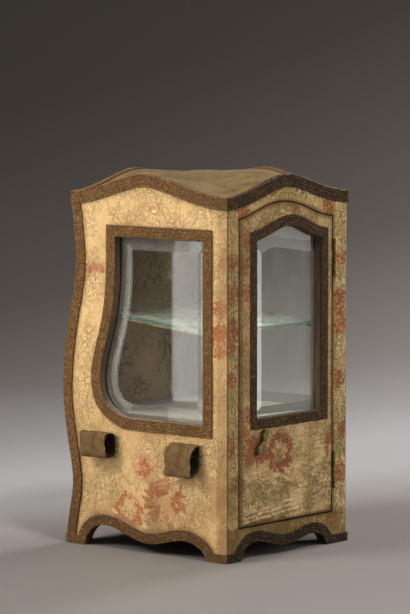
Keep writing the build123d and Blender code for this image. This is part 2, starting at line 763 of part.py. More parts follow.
for side, sign in sides():
    with BuildPart() as roof_edge:
        with BuildSketch(side_plane(sign * HALF)):
            with BuildLine():
                roof_face_band(long_side_crown)
            make_face()
        extrude(amount=sign * GALLOON)
        with BuildSketch(side_plane(sign * HALF)):
            with BuildLine():
                roof_fold(side_crown)
            make_face()
        extrude(amount=-sign * FLANGE_W)
        add(vault(0, HALF, SILK), mode=Mode.SUBTRACT)
    save(roof_edge.part, f"{side}_roof_galloon")

with BuildPart() as front_roof_galloon:
    with BuildSketch(front_plane(0)):
        with BuildLine():
            roof_face_band(front_crown)
        make_face()
    extrude(amount=GALLOON)
    with BuildSketch(front_plane(0)):
        with BuildLine():
            roof_fold(front_crown)
        make_face()
        Rectangle(WIDTH - 2 * FLANGE_W, 2 * CROWN_TOP, mode=Mode.INTERSECT)
    extrude(amount=-FLANGE_W)
save(front_roof_galloon.part, "front_roof_galloon")

with BuildPart() as back_roof_galloon:
    with BuildSketch(side_plane(-HALF)):
        with BuildLine():
            back_sheet(SILK, SILK + FOLD)
        make_face()
    extrude(amount=WIDTH)
    with BuildSketch(front_plane(BELLY_DEPTH)):
        with BuildLine():
            roof_face_band(front_crown)
        make_face()
    extrude(amount=BACK_ZONE, mode=Mode.INTERSECT)
    with BuildSketch(front_plane(BACK_TOP_DEPTH + SILK)):
        with BuildLine():
            roof_fold(front_crown)
        make_face()
        Rectangle(WIDTH - 2 * FLANGE_W, 2 * CROWN_TOP, mode=Mode.INTERSECT)
    extrude(amount=FLANGE_W)
save(back_roof_galloon.part, "back_roof_galloon")


# ---------------------------------------------------------------- galloon down the back's edges
for side, sign in sides():
    with BuildPart() as back_edge:
        for inner, x, amount in ((-EDGE_GALLOON_W, HALF, GALLOON), (SILK, HALF, -EDGE_GALLOON_W)):
            with BuildSketch(side_plane(sign * x)):
                with BuildLine():
                    back_sheet(inner, SILK + FOLD)
                make_face()
                with Locations((0, APRON_GALLOON_W)):
                    Rectangle(2 * BELLY_DEPTH, CORNER_Z - ROOF_GALLOON_W - APRON_GALLOON_W,
                              align=Align.MIN, mode=Mode.INTERSECT)
            extrude(amount=sign * amount)
    save(back_edge.part, f"{side}_back_edge_galloon")


# ---------------------------------------------------------------- galloon round the arches
def arch_band(plane, points, left, right):
    """The sketch of a band that follows the arches and closes along the feet."""
    with BuildSketch(plane) as band:
        with BuildLine():
            arch_outline(points, APRON_GALLOON_W)
        make_face()
        with Locations((left, 0)):
            Rectangle(right - left, APRON_GALLOON_W, align=Align.MIN)
        with BuildLine():
            arch_outline(points, -FOLD)
        make_face(mode=Mode.SUBTRACT)
        with Locations((left, FLOOR_GAP)):
            Rectangle(right - left, HEADER_Z, align=Align.MIN, mode=Mode.INTERSECT)
    return band.sketch


def arch_fold(plane, points):
    """The sketch of the galloon's fold under the arches."""
    with BuildSketch(plane) as fold:
        with BuildLine():
            arch_outline(points)
        make_face()
        with BuildLine():
            arch_outline(points, -FOLD)
        make_face(mode=Mode.SUBTRACT)
        with Locations((0, FLOOR_GAP)):
            Rectangle(4 * BELLY_DEPTH, HEADER_Z, align=(Align.CENTER, Align.MIN),
                      mode=Mode.INTERSECT)
    return fold.sketch


for side, sign in sides():
    face = side_plane(sign * HALF)
    with BuildPart() as side_arch:
        extrude(arch_band(face, SIDE_ARCHES, -GALLOON, BACK_FOOT_DEPTH + SILK + FOLD),
                amount=sign * GALLOON)
        extrude(arch_fold(face, SIDE_ARCHES), amount=-sign * FLANGE_W)
    save(side_arch.part, f"{side}_arch_galloon")

with BuildPart() as front_arch_galloon:
    extrude(arch_band(front_plane(0), FRONT_ARCHES, -HALF, HALF), amount=GALLOON)
    extrude(arch_fold(front_plane(0), FRONT_ARCHES), amount=-FLANGE_W)
save(front_arch_galloon.part, "front_arch_galloon")

with BuildPart() as back_arch_galloon:
    with BuildSketch(side_plane(-HALF)):
        with BuildLine():
            back_sheet(SILK, SILK + FOLD)
        make_face()
    extrude(amount=WIDTH)
    extrude(arch_band(front_plane(BELLY_DEPTH + SILK + FOLD), BACK_ARCHES, -HALF, HALF),
            amount=BACK_ZONE, mode=Mode.INTERSECT)
save(back_arch_galloon.part, "back_arch_galloon")


# ---------------------------------------------------------------- pole loops
def pole_loop(name, sign, section, start):
    """A stiff strap bent to a D and tacked to the side, open along Y for the end of a pole."""
    with BuildPart() as loop:
        with BuildSketch(front_plane(start)):
            with BuildLine():
                bent = FilletPolyline(*[(sign * (HALF + out), z) for out, z in section],
                                      radius=LOOP_BEND)
                Line(bent @ 0, bent @ 1)
            make_face()
            offset(amount=-LOOP_T, kind=Kind.ARC, mode=Mode.SUBTRACT)
        extrude(amount=-LOOP_LONG)
        with BuildSketch(side_plane(sign * (HALF + LOOP_T))):
            with Locations(*TACK_PLACES):
                Circle(TACK_R)
        extrude(amount=-sign * LOOP_T, mode=Mode.SUBTRACT)
    save(loop.part, name)


for side, sign in sides():
    pole_loop(f"{side}_rear_pole_loop", sign, REAR_LOOP, REAR_LOOP_DEPTH)
    pole_loop(f"{side}_front_pole_loop", sign, FRONT_LOOP, FRONT_LOOP_DEPTH)

with BuildPart() as pole_loop_tacks:
    for side, sign in sides():
        with BuildSketch(side_plane(sign * (HALF + LOOP_T))):
            with Locations(*TACK_PLACES):
                Circle(TACK_R)
        extrude(amount=-sign * (TACK_LONG + SILK + LOOP_T))
        x = HALF + LOOP_T
        for radius, height in TACK_HEAD:
            with BuildSketch(side_plane(sign * x)):
                with Locations(*TACK_PLACES):
                    Circle(radius)
            extrude(amount=sign * height)
            x += height
save(pole_loop_tacks.part, "pole_loop_tacks")
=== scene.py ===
# %% [markdown]
# # A display case in the form of a sedan chair
# The real case is a small wooden cabinet for thimbles. Old silk brocade is glued over it, woven metal galloon hides
# every raw edge, and bevelled glass fills both sides and the door. This notebook dresses a finished construction model:
# its glass, wood and brass stay as they are and get finishes, and its plain cloth is replaced by modelled cloth.
# Lengths are in millimetres until a point is placed, because cloth and braid are easier to think of that way.

# %% Load the construction model
from math import cos, hypot, pi, radians, sin

import bmesh
import bpy
import numpy as np
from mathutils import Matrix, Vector, geometry, noise
from random import Random


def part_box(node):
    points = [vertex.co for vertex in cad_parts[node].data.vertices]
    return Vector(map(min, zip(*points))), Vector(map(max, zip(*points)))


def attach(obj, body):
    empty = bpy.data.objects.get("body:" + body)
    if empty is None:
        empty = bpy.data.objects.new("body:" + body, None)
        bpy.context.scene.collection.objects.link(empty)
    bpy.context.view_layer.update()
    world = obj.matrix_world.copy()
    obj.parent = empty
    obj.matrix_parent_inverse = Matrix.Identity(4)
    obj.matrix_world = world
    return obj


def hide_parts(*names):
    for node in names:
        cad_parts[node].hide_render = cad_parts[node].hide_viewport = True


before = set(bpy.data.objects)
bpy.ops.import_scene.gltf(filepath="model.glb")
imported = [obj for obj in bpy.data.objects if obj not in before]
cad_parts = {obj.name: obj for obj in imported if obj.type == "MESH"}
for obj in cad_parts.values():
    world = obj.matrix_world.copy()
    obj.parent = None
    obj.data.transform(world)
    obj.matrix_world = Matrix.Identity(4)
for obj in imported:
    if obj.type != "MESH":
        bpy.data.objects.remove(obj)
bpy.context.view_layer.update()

MM = 0.001

# %% [markdown]
# ## The main faces
# The cloth needs to know where the wood ends. Everything here is read from the model, so that a change of its size
# carries through: the outer face of the side boards, of the front frame and the bent back.

# %% Read the sizes of the carcass
SILK_T = 0.6  # thickness of the glued silk
BAND_T = 1.8  # height of the galloon's face above the wood


def corners(node):
    """The lowest and highest corner of a node, in millimetres."""
    low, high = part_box(node)
    return np.array(low) / MM, np.array(high) / MM


def placed(name, data):
    """A new object in the scene."""
    made = bpy.data.objects.new(name, data)
    bpy.context.scene.collection.objects.link(made)
    return made


SIDE_X = corners("right_side_board")[1][0]
FRONT_Y = corners("left_front_stile")[0][1]
BACK_TOP_Y = corners("roof_block")[1][1]
CASE_TOP = corners("left_side_silk")[1][2]
print(f"side wood at x {SIDE_X:.2f}, front wood at y {FRONT_Y:.2f}, top of the silk {CASE_TOP:.1f} mm")


# %% [markdown]
# ## Outlines from the model
# A cloth cover is cut to the outline of the board under it, with a hole for the window. Instead of drawing the outlines
# a second time, this reads them: it collects a node's faces that look one way and walks round their open edges.

# %% Walk round the faces of a node
def outlines(node, axis, sense, steep=0.9, shortest=30.0):
    """The closed edges of a node's faces that look along one axis, longest first, as arrays of points."""
    shape = bmesh.new()
    shape.from_mesh(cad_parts[node].data)
    bmesh.ops.remove_doubles(shape, verts=shape.verts, dist=MM / 1000)
    shape.normal_update()
    facing = {face for face in shape.faces if face.normal[axis] * sense > steep}
    beside = {}
    for edge in shape.edges:
        if sum(face in facing for face in edge.link_faces) == 1:
            for here, there in (edge.verts, reversed(edge.verts)):
                beside.setdefault(here, []).append(there)
    found, open_points = [], dict.fromkeys(beside)  # in the mesh's own order, the same on each run
    while open_points:
        here = next(iter(open_points))
        run = []
        while here is not None:
            run.append(np.array(here.co) / MM)
            open_points.pop(here)
            here = next((point for point in beside[here] if point in open_points), None)
        found.append(np.array(run))
    shape.free()
    return sorted((run for run in found if length_of(run) > shortest), key=length_of, reverse=True)


def length_of(run):
    """The length of a closed run of points."""
    return float(np.linalg.norm(np.roll(run, -1, 0) - run, axis=1).sum())


side_loops = outlines("left_side_silk", 0, -1)
print("side silk outlines:", [f"{length_of(run):.0f} mm" for run in side_loops])


# %% [markdown]
# ## Four faces to lay cloth on
# Each face turns a flat place (across, height) and a distance above the wood into a point in space. The back is bent,
# so its depth is looked up from the curve that the side's outline already has.

# %% Faces of the case
def run_between(loop, start, end):
    """The points of a closed loop from the one nearest start to the one nearest end, the shorter way round."""
    first, last = (int(np.argmin(np.hypot(*(loop - place).T))) for place in (start, end))
    forward = np.roll(loop, -first, 0)[:(last - first) % len(loop) + 1]
    backward = np.roll(loop[::-1], first + 1, 0)[:(first - last) % len(loop) + 1]
    return min(forward, backward, key=lambda run: np.hypot(*np.diff(run, axis=0).T).sum())


side_outline = side_loops[0][:, 1:]  # (y, z)
CORNER_Z = float(side_outline[np.argmin(side_outline[:, 0] - side_outline[:, 1] / 1000), 1])  # the front's top corner
back_foot = side_outline[np.argmax(side_outline[:, 0] - 2 * side_outline[:, 1])]  # the back's lowest point
back_run = run_between(side_outline, (BACK_TOP_Y, CORNER_Z), back_foot)
back_run = back_run[np.argsort(back_run[:, 1])]


def back_y(z):
    """Depth of the wooden back at a height."""
    return np.interp(z, back_run[:, 1], back_run[:, 0])


def back_slope(z):
    """How far the back leans out over one millimetre upwards."""
    return back_y(np.asarray(z) + 0.5) - back_y(np.asarray(z) - 0.5)


class Face:
    """A face of the case. place() takes across and height, and a distance above the wood, in millimetres."""

    def __init__(self, axis, base, sense):
        self.axis, self.base, self.sense = axis, base, sense

    def foot(self, flat):
        """The points of the wood."""
        return np.insert(flat, self.axis, self.base, 1)

    def normal(self, flat):
        """The way each point looks."""
        return np.broadcast_to(self.sense * np.eye(3)[self.axis], (len(flat), 3))

    def place(self, flat, lift):
        flat = np.asarray(flat, float)
        return self.foot(flat) + self.normal(flat) * np.reshape(lift, (-1, 1))


class Back(Face):
    """The bent back from outside or, at a depth in the wood, from inside."""

    def __init__(self, depth=0.0):
        super().__init__(1, -depth, -1 if depth else 1)

    def foot(self, flat):
        across, height = flat.T
        return np.stack([across, back_y(height) + self.base, height], -1)

    def normal(self, flat):
        slope = back_slope(np.asarray(flat, float)[:, 1])
        return self.sense * np.stack([0 * slope, 0 * slope + 1, -slope], -1) / np.sqrt(1 + slope ** 2)[:, None]


left_face, right_face, front_face, back_face = Face(0, -SIDE_X, -1), Face(0, SIDE_X, 1), Face(1, FRONT_Y, -1), Back()
print(f"roof corner at {CORNER_Z:.1f}, back foot at y {back_foot[0]:.1f}, "
      f"depth of the waist {back_run[:, 0].min():.1f}")


# %% [markdown]
# ## Node trees as arithmetic
# A shader or a Geometry Nodes tree is easiest to read as a formula. A Wire is one output of a node, and adding or
# multiplying wires adds the Math nodes that do it. Every other node comes from Graph.node.

# %% Wires
class Wire:
    """One output of a node, which takes part in arithmetic."""

    def __init__(self, graph, socket):
        self.graph, self.socket = graph, socket

    def out(self, name):
        """Another output of the same node."""
        return Wire(self.graph, self.socket.node.outputs[name])

    def math(self, operation, *others):
        values = dict(enumerate((self, *others)))
        return self.graph.node("ShaderNodeMath", {"operation": operation}, values)

    def __add__(self, other): return self.math("ADD", other)
    def __radd__(self, other): return self.math("ADD", other)
    def __mul__(self, other): return self.math("MULTIPLY", other)
    def __rmul__(self, other): return self.math("MULTIPLY", other)
    def __truediv__(self, other): return self.math("DIVIDE", other)
    def __sub__(self, other): return self.math("SUBTRACT", other)
    def __rsub__(self, other): return (self * -1.0).math("ADD", other)
    def sin(self): return self.math("SINE")
    def abs(self): return self.math("ABSOLUTE")
    def least(self, other): return self.math("MINIMUM", other)
    def most(self, other): return self.math("MAXIMUM", other)

    def waves(self, pitch):
        """A sine wave of this pitch."""
        return (self * (2 * pi / pitch)).sin()

    def step(self, start, end):
        """0 before start, 1 after end, and a smooth rise between them. With end under start it falls."""
        low, high, begin, finish = (start, end, 0.0, 1.0) if start < end else (end, start, 1.0, 0.0)
        return self.graph.node("ShaderNodeMapRange", {"interpolation_type": "SMOOTHSTEP"},
                               {"Value": self, "From Min": low, "From Max": high, "To Min": begin,
                                "To Max": finish})


print("a wire also knows:", ", ".join(name for name in vars(Wire) if not name.startswith("_")))


# %% Graphs
class Graph:
    """A node tree that is written as expressions."""

    def __init__(self, tree):
        self.tree = tree

    def node(self, kind, settings=None, values=None, out=0):
        made = self.tree.nodes.new(kind)
        for name, setting in (settings or {}).items():
            if name == "stops":
                self.set_stops(made.color_ramp, setting)
            else:
                setattr(made, name, setting)
        for name, value in (values or {}).items():
            if isinstance(value, Wire):
                self.tree.links.new(value.socket, made.inputs[name])
            else:
                made.inputs[name].default_value = value
        return Wire(self, made.outputs[out]) if len(made.outputs) else made

    @staticmethod
    def set_stops(ramp, stops):
        while len(ramp.elements) < len(stops):
            ramp.elements.new(1.0)
        for element, (place, colour) in zip(ramp.elements, stops):
            element.position, element.color = place, (*colour, 1.0)

    def attribute(self, name, out="Vector"):
        return self.node("ShaderNodeAttribute", {"attribute_name": name}, out=out)

    def split(self, vector):
        """The three numbers of a vector."""
        parts = self.node("ShaderNodeSeparateXYZ", {}, {0: vector})
        return parts, parts.out("Y"), parts.out("Z")

    def join(self, x, y, z=0.0):
        return self.node("ShaderNodeCombineXYZ", {}, {"X": x, "Y": y, "Z": z})

    def mix(self, share, first, second):
        """Two colours, mixed."""
        return self.node("ShaderNodeMix", {"data_type": "RGBA", "clamp_factor": True},
                         {0: share, 6: colour(first), 7: colour(second)}, out=2)

    def layers(self, base, *layers):
        """A colour with others laid over it in turn, each given as its share and the colour."""
        for share, over in layers:
            base = self.mix(share, base, over)
        return base

    def noise(self, place, size, detail=2.0, roughness=0.5, dimensions="3D"):
        """Soft noise from 0 to 1 whose blots are about size across, in the units of the place."""
        return self.node("ShaderNodeTexNoise", {"noise_dimensions": dimensions},
                         {"Vector": place, "Scale": 1 / size, "Detail": detail, "Roughness": roughness})

    def blots(self, place, size, detail=2.0, roughness=0.5):
        """The same noise over a flat place."""
        return self.noise(place, size, detail, roughness, "2D")

    def bump(self, height, depth, strength):
        return self.node("ShaderNodeBump", {}, {"Height": height, "Distance": depth, "Strength": strength})


def colour(value):
    """A colour as a socket takes it: a wire, or three numbers with an alpha of 1."""
    return value if isinstance(value, Wire) else (*value, 1.0)


print("a graph knows:", ", ".join(name for name in vars(Graph) if not name.startswith("_")))


# %% Materials from formulas
def principled(material):
    """The wire of a material's own shader."""
    return Wire(Graph(material.node_tree), material.node_tree.nodes["Principled BSDF"].outputs[0])


def show(material, wire):
    """Makes a wire the surface of a material."""
    material.node_tree.links.new(wire.socket, material.node_tree.nodes["Material Output"].inputs["Surface"])


def finish(name, build, **constants):
    """A material. build(graph) returns the varying inputs of its shader, and constants are the even ones."""
    material = bpy.data.materials.new(name)
    material.use_nodes = True
    graph = Graph(material.node_tree)
    shader = material.node_tree.nodes["Principled BSDF"]
    for socket, value in constants.items():
        shader.inputs[socket.replace("_", " ")].default_value = value
    for socket, wire in build(graph).items():
        if isinstance(wire, Wire):
            material.node_tree.links.new(wire.socket, shader.inputs[socket])
        else:
            shader.inputs[socket].default_value = wire
    print(f"finish {name}: {len(material.node_tree.nodes)} nodes")
    return material


# %% [markdown]
# ## Brocade
# The silk is a cream satin with a fine woven figure like overlapping shells, and sprays of roses over it. A picture of
# the flowers would blur when seen closely, so each point of the cloth only knows where it is inside the nearest bloom
# and the nearest leaf, and the petals are drawn here from that, as crisp as the render asks.

# %% The brocade's ground figure
THREAD = 0.55  # pitch of the weft threads that show
SHELL = 10.0  # width of one shell or fan of the ground figure
RIB = 1.9  # pitch of the lines inside a shell
FAN_LINES = 13.0  # straight lines round one fan
SWAY, SWAY_BY = 17.0, 16.0  # how widely and how far the figure is bent
HATCH = 1.9  # pitch of the slanted threads that carry the flowers' dye
LEFT_GRIME, APRON_SHADE = (-65.0, -69.0), (30.0, 26.0)  # grime on the left, across, and painted shade on the apron under the door, upwards: where each begins and is full
LOW_SHADE_HEIGHTS = (190.0, 10.0)  # heights where the painted shade towards a cloth's foot begins and is darkest
PALER = (1.18, 1.36, 1.75)  # how much lighter each channel is in pale threads and leaf rims, and in painted highlights


def figure_lines(graph, flat, across, height):
    """The ground figure: shells of curved lines and fans of straight ones. Gives the lines, and the pale woven
    threads between them, which are also painted lighter as highlights beside each line."""
    sway = graph.blots(flat, SWAY, 1.0) - 0.5
    lean = graph.blots(graph.join(across + 71.0, height), SWAY, 1.0) - 0.5
    bent = graph.join(across + SWAY_BY * sway, height * 0.8 + SWAY_BY * lean)
    settings, grid = {"voronoi_dimensions": "2D"}, {"Vector": bent, "Scale": 1 / SHELL, "Randomness": 0.9}
    cells = graph.node("ShaderNodeTexVoronoi", settings, grid, out="Position")
    spot = graph.node("ShaderNodeVectorMath", {"operation": "SUBTRACT"}, {0: bent, 1: cells})
    dx, dy, _ = graph.split(spot)
    reach, turn = (dx * dx + dy * dy).math("SQRT"), dy.math("ARCTAN2", dx)
    kind = graph.split(cells.out("Color"))[0]
    shells = reach.waves(RIB)
    fans = (turn * FAN_LINES + reach * 0.5).sin()
    lines = shells + kind.step(0.45, 0.55) * (fans - shells)
    outline = graph.node("ShaderNodeTexVoronoi", {**settings, "feature": "DISTANCE_TO_EDGE"}, grid)
    broken = graph.blots(flat, 2.6, 1.0).step(0.25, 0.5)
    return lines.step(-0.1, 0.6).most(outline.step(0.09, 0.04)) * broken, lines.step(-0.3, -0.9) * broken


print(f"shells {SHELL:.0f} mm wide, with a line every {RIB} mm")


# %% The brocade's flowers, dye, grime and painted shade
def brocade(ground, line, rose, blush, leaf, dirt_and_shade, worn, drawn, edge_dark=(13.0, 8.0), crease_shading=0.15, crepe_and_highlight=0.3,
            grime_and_apron_shade=0.0, low_shade=0.0):
    """A recipe for brocade in these colours; the last colour is laid on for darkening along the edges, stains, grime
    and painted shade. worn is how much of the dye has gone, drawn how strong the figure is, dusty where the darkening
    along the edges ends and is full, creased how dark the painted shade in the dips between creases is and how light
    the painted highlight on the crests, crepe how sharp the small ridges of the shrunken silk are and how light their
    painted highlights, grimy how dark the far left and the patches are and how dark the painted shade on the apron
    under the door, and faded how much painted shade darkens the cloth towards its foot."""

    def build(graph):
        across, height, edge = graph.split(graph.attribute("cloth"))
        crest = graph.attribute("crest", "Fac")
        flat = graph.join(across, height)
        patchy = graph.blots(flat, 30.0, 1.0)
        figure, floats_and_highlights = figure_lines(graph, flat, across, height)
        shown = 0.3 + 0.7 * patchy.step(0.32, 0.55)
        figure, floats_and_highlights = figure * shown, floats_and_highlights * shown
        mottle = graph.blots(flat, 4.5, 3.0, 0.65)
        ridge = (graph.blots(graph.join(across, height * 0.45), 2.6, 2.0, 0.6) - 0.5).abs().step(0.08, 0.0)
        weft = height.waves(THREAD) * 0.5 + 0.5
        fibre = graph.blots(graph.join(across * 0.35, height * 2.4), 1.0, 1.0)
        hatch = (across * 0.6 + height).waves(HATCH) * 0.5 + 0.5
        cover = graph.blots(flat, 2.2, 2.0, 0.6).step(worn - 0.12, worn + 0.24) * (0.7 + 0.3 * hatch)

        bloom_tint, leaf_tint, stem_gap = graph.split(graph.attribute("tint"))
        bx, by, near = graph.split(graph.attribute("bloom"))  # place in the nearest bloom, and its nearness
        radius = (bx * bx + by * by).math("SQRT") + 0.001
        ragged = graph.blots(flat, 4.5, 2.0, 0.65) - 0.5
        rim = radius + 1.5 * ragged
        inside = rim.step(1.0, 0.85) * near.step(1.25, 1.15) * bloom_tint
        whorls = graph.noise(graph.join(bx / radius * 1.7, by / radius * 1.7, radius * 3.4), 1.0, 1.5, 0.6)
        petals = (whorls + 0.18 * rim.step(0.3, 0.85) + 0.12 * rim.step(0.3, 0.1)).step(0.51, 0.60)
        marks = petals * inside
        heart = whorls.step(0.47, 0.40) * inside

        along, aside, leaf_near = graph.split(graph.attribute("leaf"))  # along and across the nearest leaf
        aside, close = aside.abs(), leaf_near.step(1.2, 1.1) * leaf_tint
        lobes = (along * pi).sin() * (0.22 + 0.04 * (along * 26.0).sin())
        green = (lobes - aside).step(0.0, 0.05) * close
        veins = (along * 26.0 - aside * 30.0).sin().step(0.1, 0.6).most(aside.step(0.05, 0.02))
        rims = (lobes + 0.03 - aside).abs().step(0.045, 0.02) * close
        stem = stem_gap.step(0.75, 0.3) * 0.7
        frayed = graph.blots(flat, 1.7, 2.0, 0.6) - 0.5
        dab = (graph.attribute("stroke", "Fac") + 1.4 * ragged + 3.2 * frayed).step(0.3, -0.25)
        speck = graph.blots(flat, 1.4, 1.0).step(0.38, 0.58)
        dab = dab * (0.68 + 0.32 * speck)

        pale = tuple(min(1.0, channel * grow) for channel, grow in zip(ground, PALER))
        tone = graph.blots(graph.join(across, height * 0.7 + 40.0), 13.0, 2.0)
        stain = graph.blots(flat, 46.0, 3.0, 0.62).step(0.45, 0.75) * 0.35
        # darker along the edges, random stains, and painted shade in the dips between creases
        soil_and_shade = edge.step(*edge_dark) * 0.4 + stain + (1 - crest) * crease_shading
        # grime on the far left, and painted shade on the apron under the door
        soil_and_shade = soil_and_shade + (across.step(*LEFT_GRIME) + height.step(*APRON_SHADE) * 4.0) * grime_and_apron_shade
        # painted shade, darker towards the foot
        soil_and_shade = soil_and_shade + height.step(*LOW_SHADE_HEIGHTS) * low_shade
        yarn = graph.layers(ground, (figure * drawn, line),
                            # pale woven threads between the lines, which also carry painted highlights beside them
                            ((fibre.step(0.4, 0.8) * 0.25 + floats_and_highlights * 0.6) * (1 - figure), pale),
                            # painted highlight on the crests of the creases
                            (crest.step(0.7, 1.0) * crease_shading, pale),
                            (tone.step(0.5, 0.7) * grime_and_apron_shade, leaf),
                            (mottle.step(0.52, 0.72) * 0.35, line),
                            # painted highlight on the small ridges of the crepe
                            (ridge * 0.6 * crepe_and_highlight, pale),
                            (stem * cover, leaf),
                            (green * cover * (0.3 + 0.6 * veins), leaf),
                            (rims * 0.75, pale),
                            (inside * cover * 0.5, blush),
                            (heart * 0.45, ground),
                            ((marks * cover * 0.9).most(dab * (0.6 + 0.4 * cover)), rose),
                            # stains, grime and painted shade, all in the last colour
                            (soil_and_shade, dirt_and_shade))
        relief = floats_and_highlights * 0.7 - figure * 0.5 + 0.2 * weft + 0.5 * marks.most(dab) + 0.35 * green + 0.45 * fibre
        relief = relief + mottle * 1.2 + ridge * 1.6 * crepe_and_highlight
        return {"Base Color": yarn,
                "Roughness": 0.6 - 0.14 * figure + 0.14 * soil_and_shade,
                "Normal": graph.bump(relief, (0.30 + 0.35 * crepe_and_highlight) * MM, 0.9)}

    return build


# %% The four brocades of the case
SATIN = {"Sheen_Weight": 0.05, "Specular_IOR_Level": 0.25}
side_silk = finish("brocade_side", brocade((0.90, 0.578, 0.242), (0.26, 0.145, 0.048), (0.43, 0.056, 0.003),
                                           (0.80, 0.34, 0.22), (0.36, 0.27, 0.10), (0.34, 0.185, 0.07),
                                           worn=0.16, drawn=0.6, low_shade=0.3),
                   Sheen_Weight=0.05, Sheen_Roughness=0.4, Specular_IOR_Level=0.3)
# the front's dyes, and last the colour for darkening along the edges, stains, grime and painted shade
FRONT_DYES_AND_SHADE = (0.21, 0.115, 0.03), (0.35, 0.034, 0.004), (0.52, 0.13, 0.045), (0.22, 0.18, 0.045), (0.21, 0.12, 0.035)
front_silk = finish("brocade_front", brocade((0.90, 0.585, 0.235), *FRONT_DYES_AND_SHADE, worn=0.08, drawn=0.95,
                                             edge_dark=(2.5, 0.3), crease_shading=0.35, crepe_and_highlight=0.7, grime_and_apron_shade=0.12), **SATIN)
door_silk = finish("brocade_door", brocade((0.77, 0.50, 0.215), *FRONT_DYES_AND_SHADE, worn=0.12, drawn=0.95,
                                           edge_dark=(5.0, 1.0), crease_shading=0.5, crepe_and_highlight=0.6, grime_and_apron_shade=0.1), **SATIN)
# the lining is a darker copy of the brocade: painted shade for the inside of the case
lining_silk_in_shade = finish("brocade_lining_in_shade", brocade((0.31, 0.19, 0.078), (0.18, 0.10, 0.04), (0.07, 0.014, 0.020),
                                               (0.32, 0.09, 0.07), (0.06, 0.034, 0.02), (0.11, 0.065, 0.028),
                                               worn=0.05, drawn=0.6, edge_dark=(6.0, 1.0), crease_shading=0.1, crepe_and_highlight=0.2),
                     **SATIN)


# %% [markdown]
# ## Sprays of roses
# A brocade's flowers hang together: a curved stem carries a bloom at its tip and leaves on both sides. Each cover gets
# a few sprays of its own, placed so that no two covers look alike. A spray is only a short list of blooms, leaves,
# stems and strokes, and each point of the cloth then looks up the nearest of each.

# %% Grow the sprays
FAR = 99.0  # distance to a motif where a cover has none


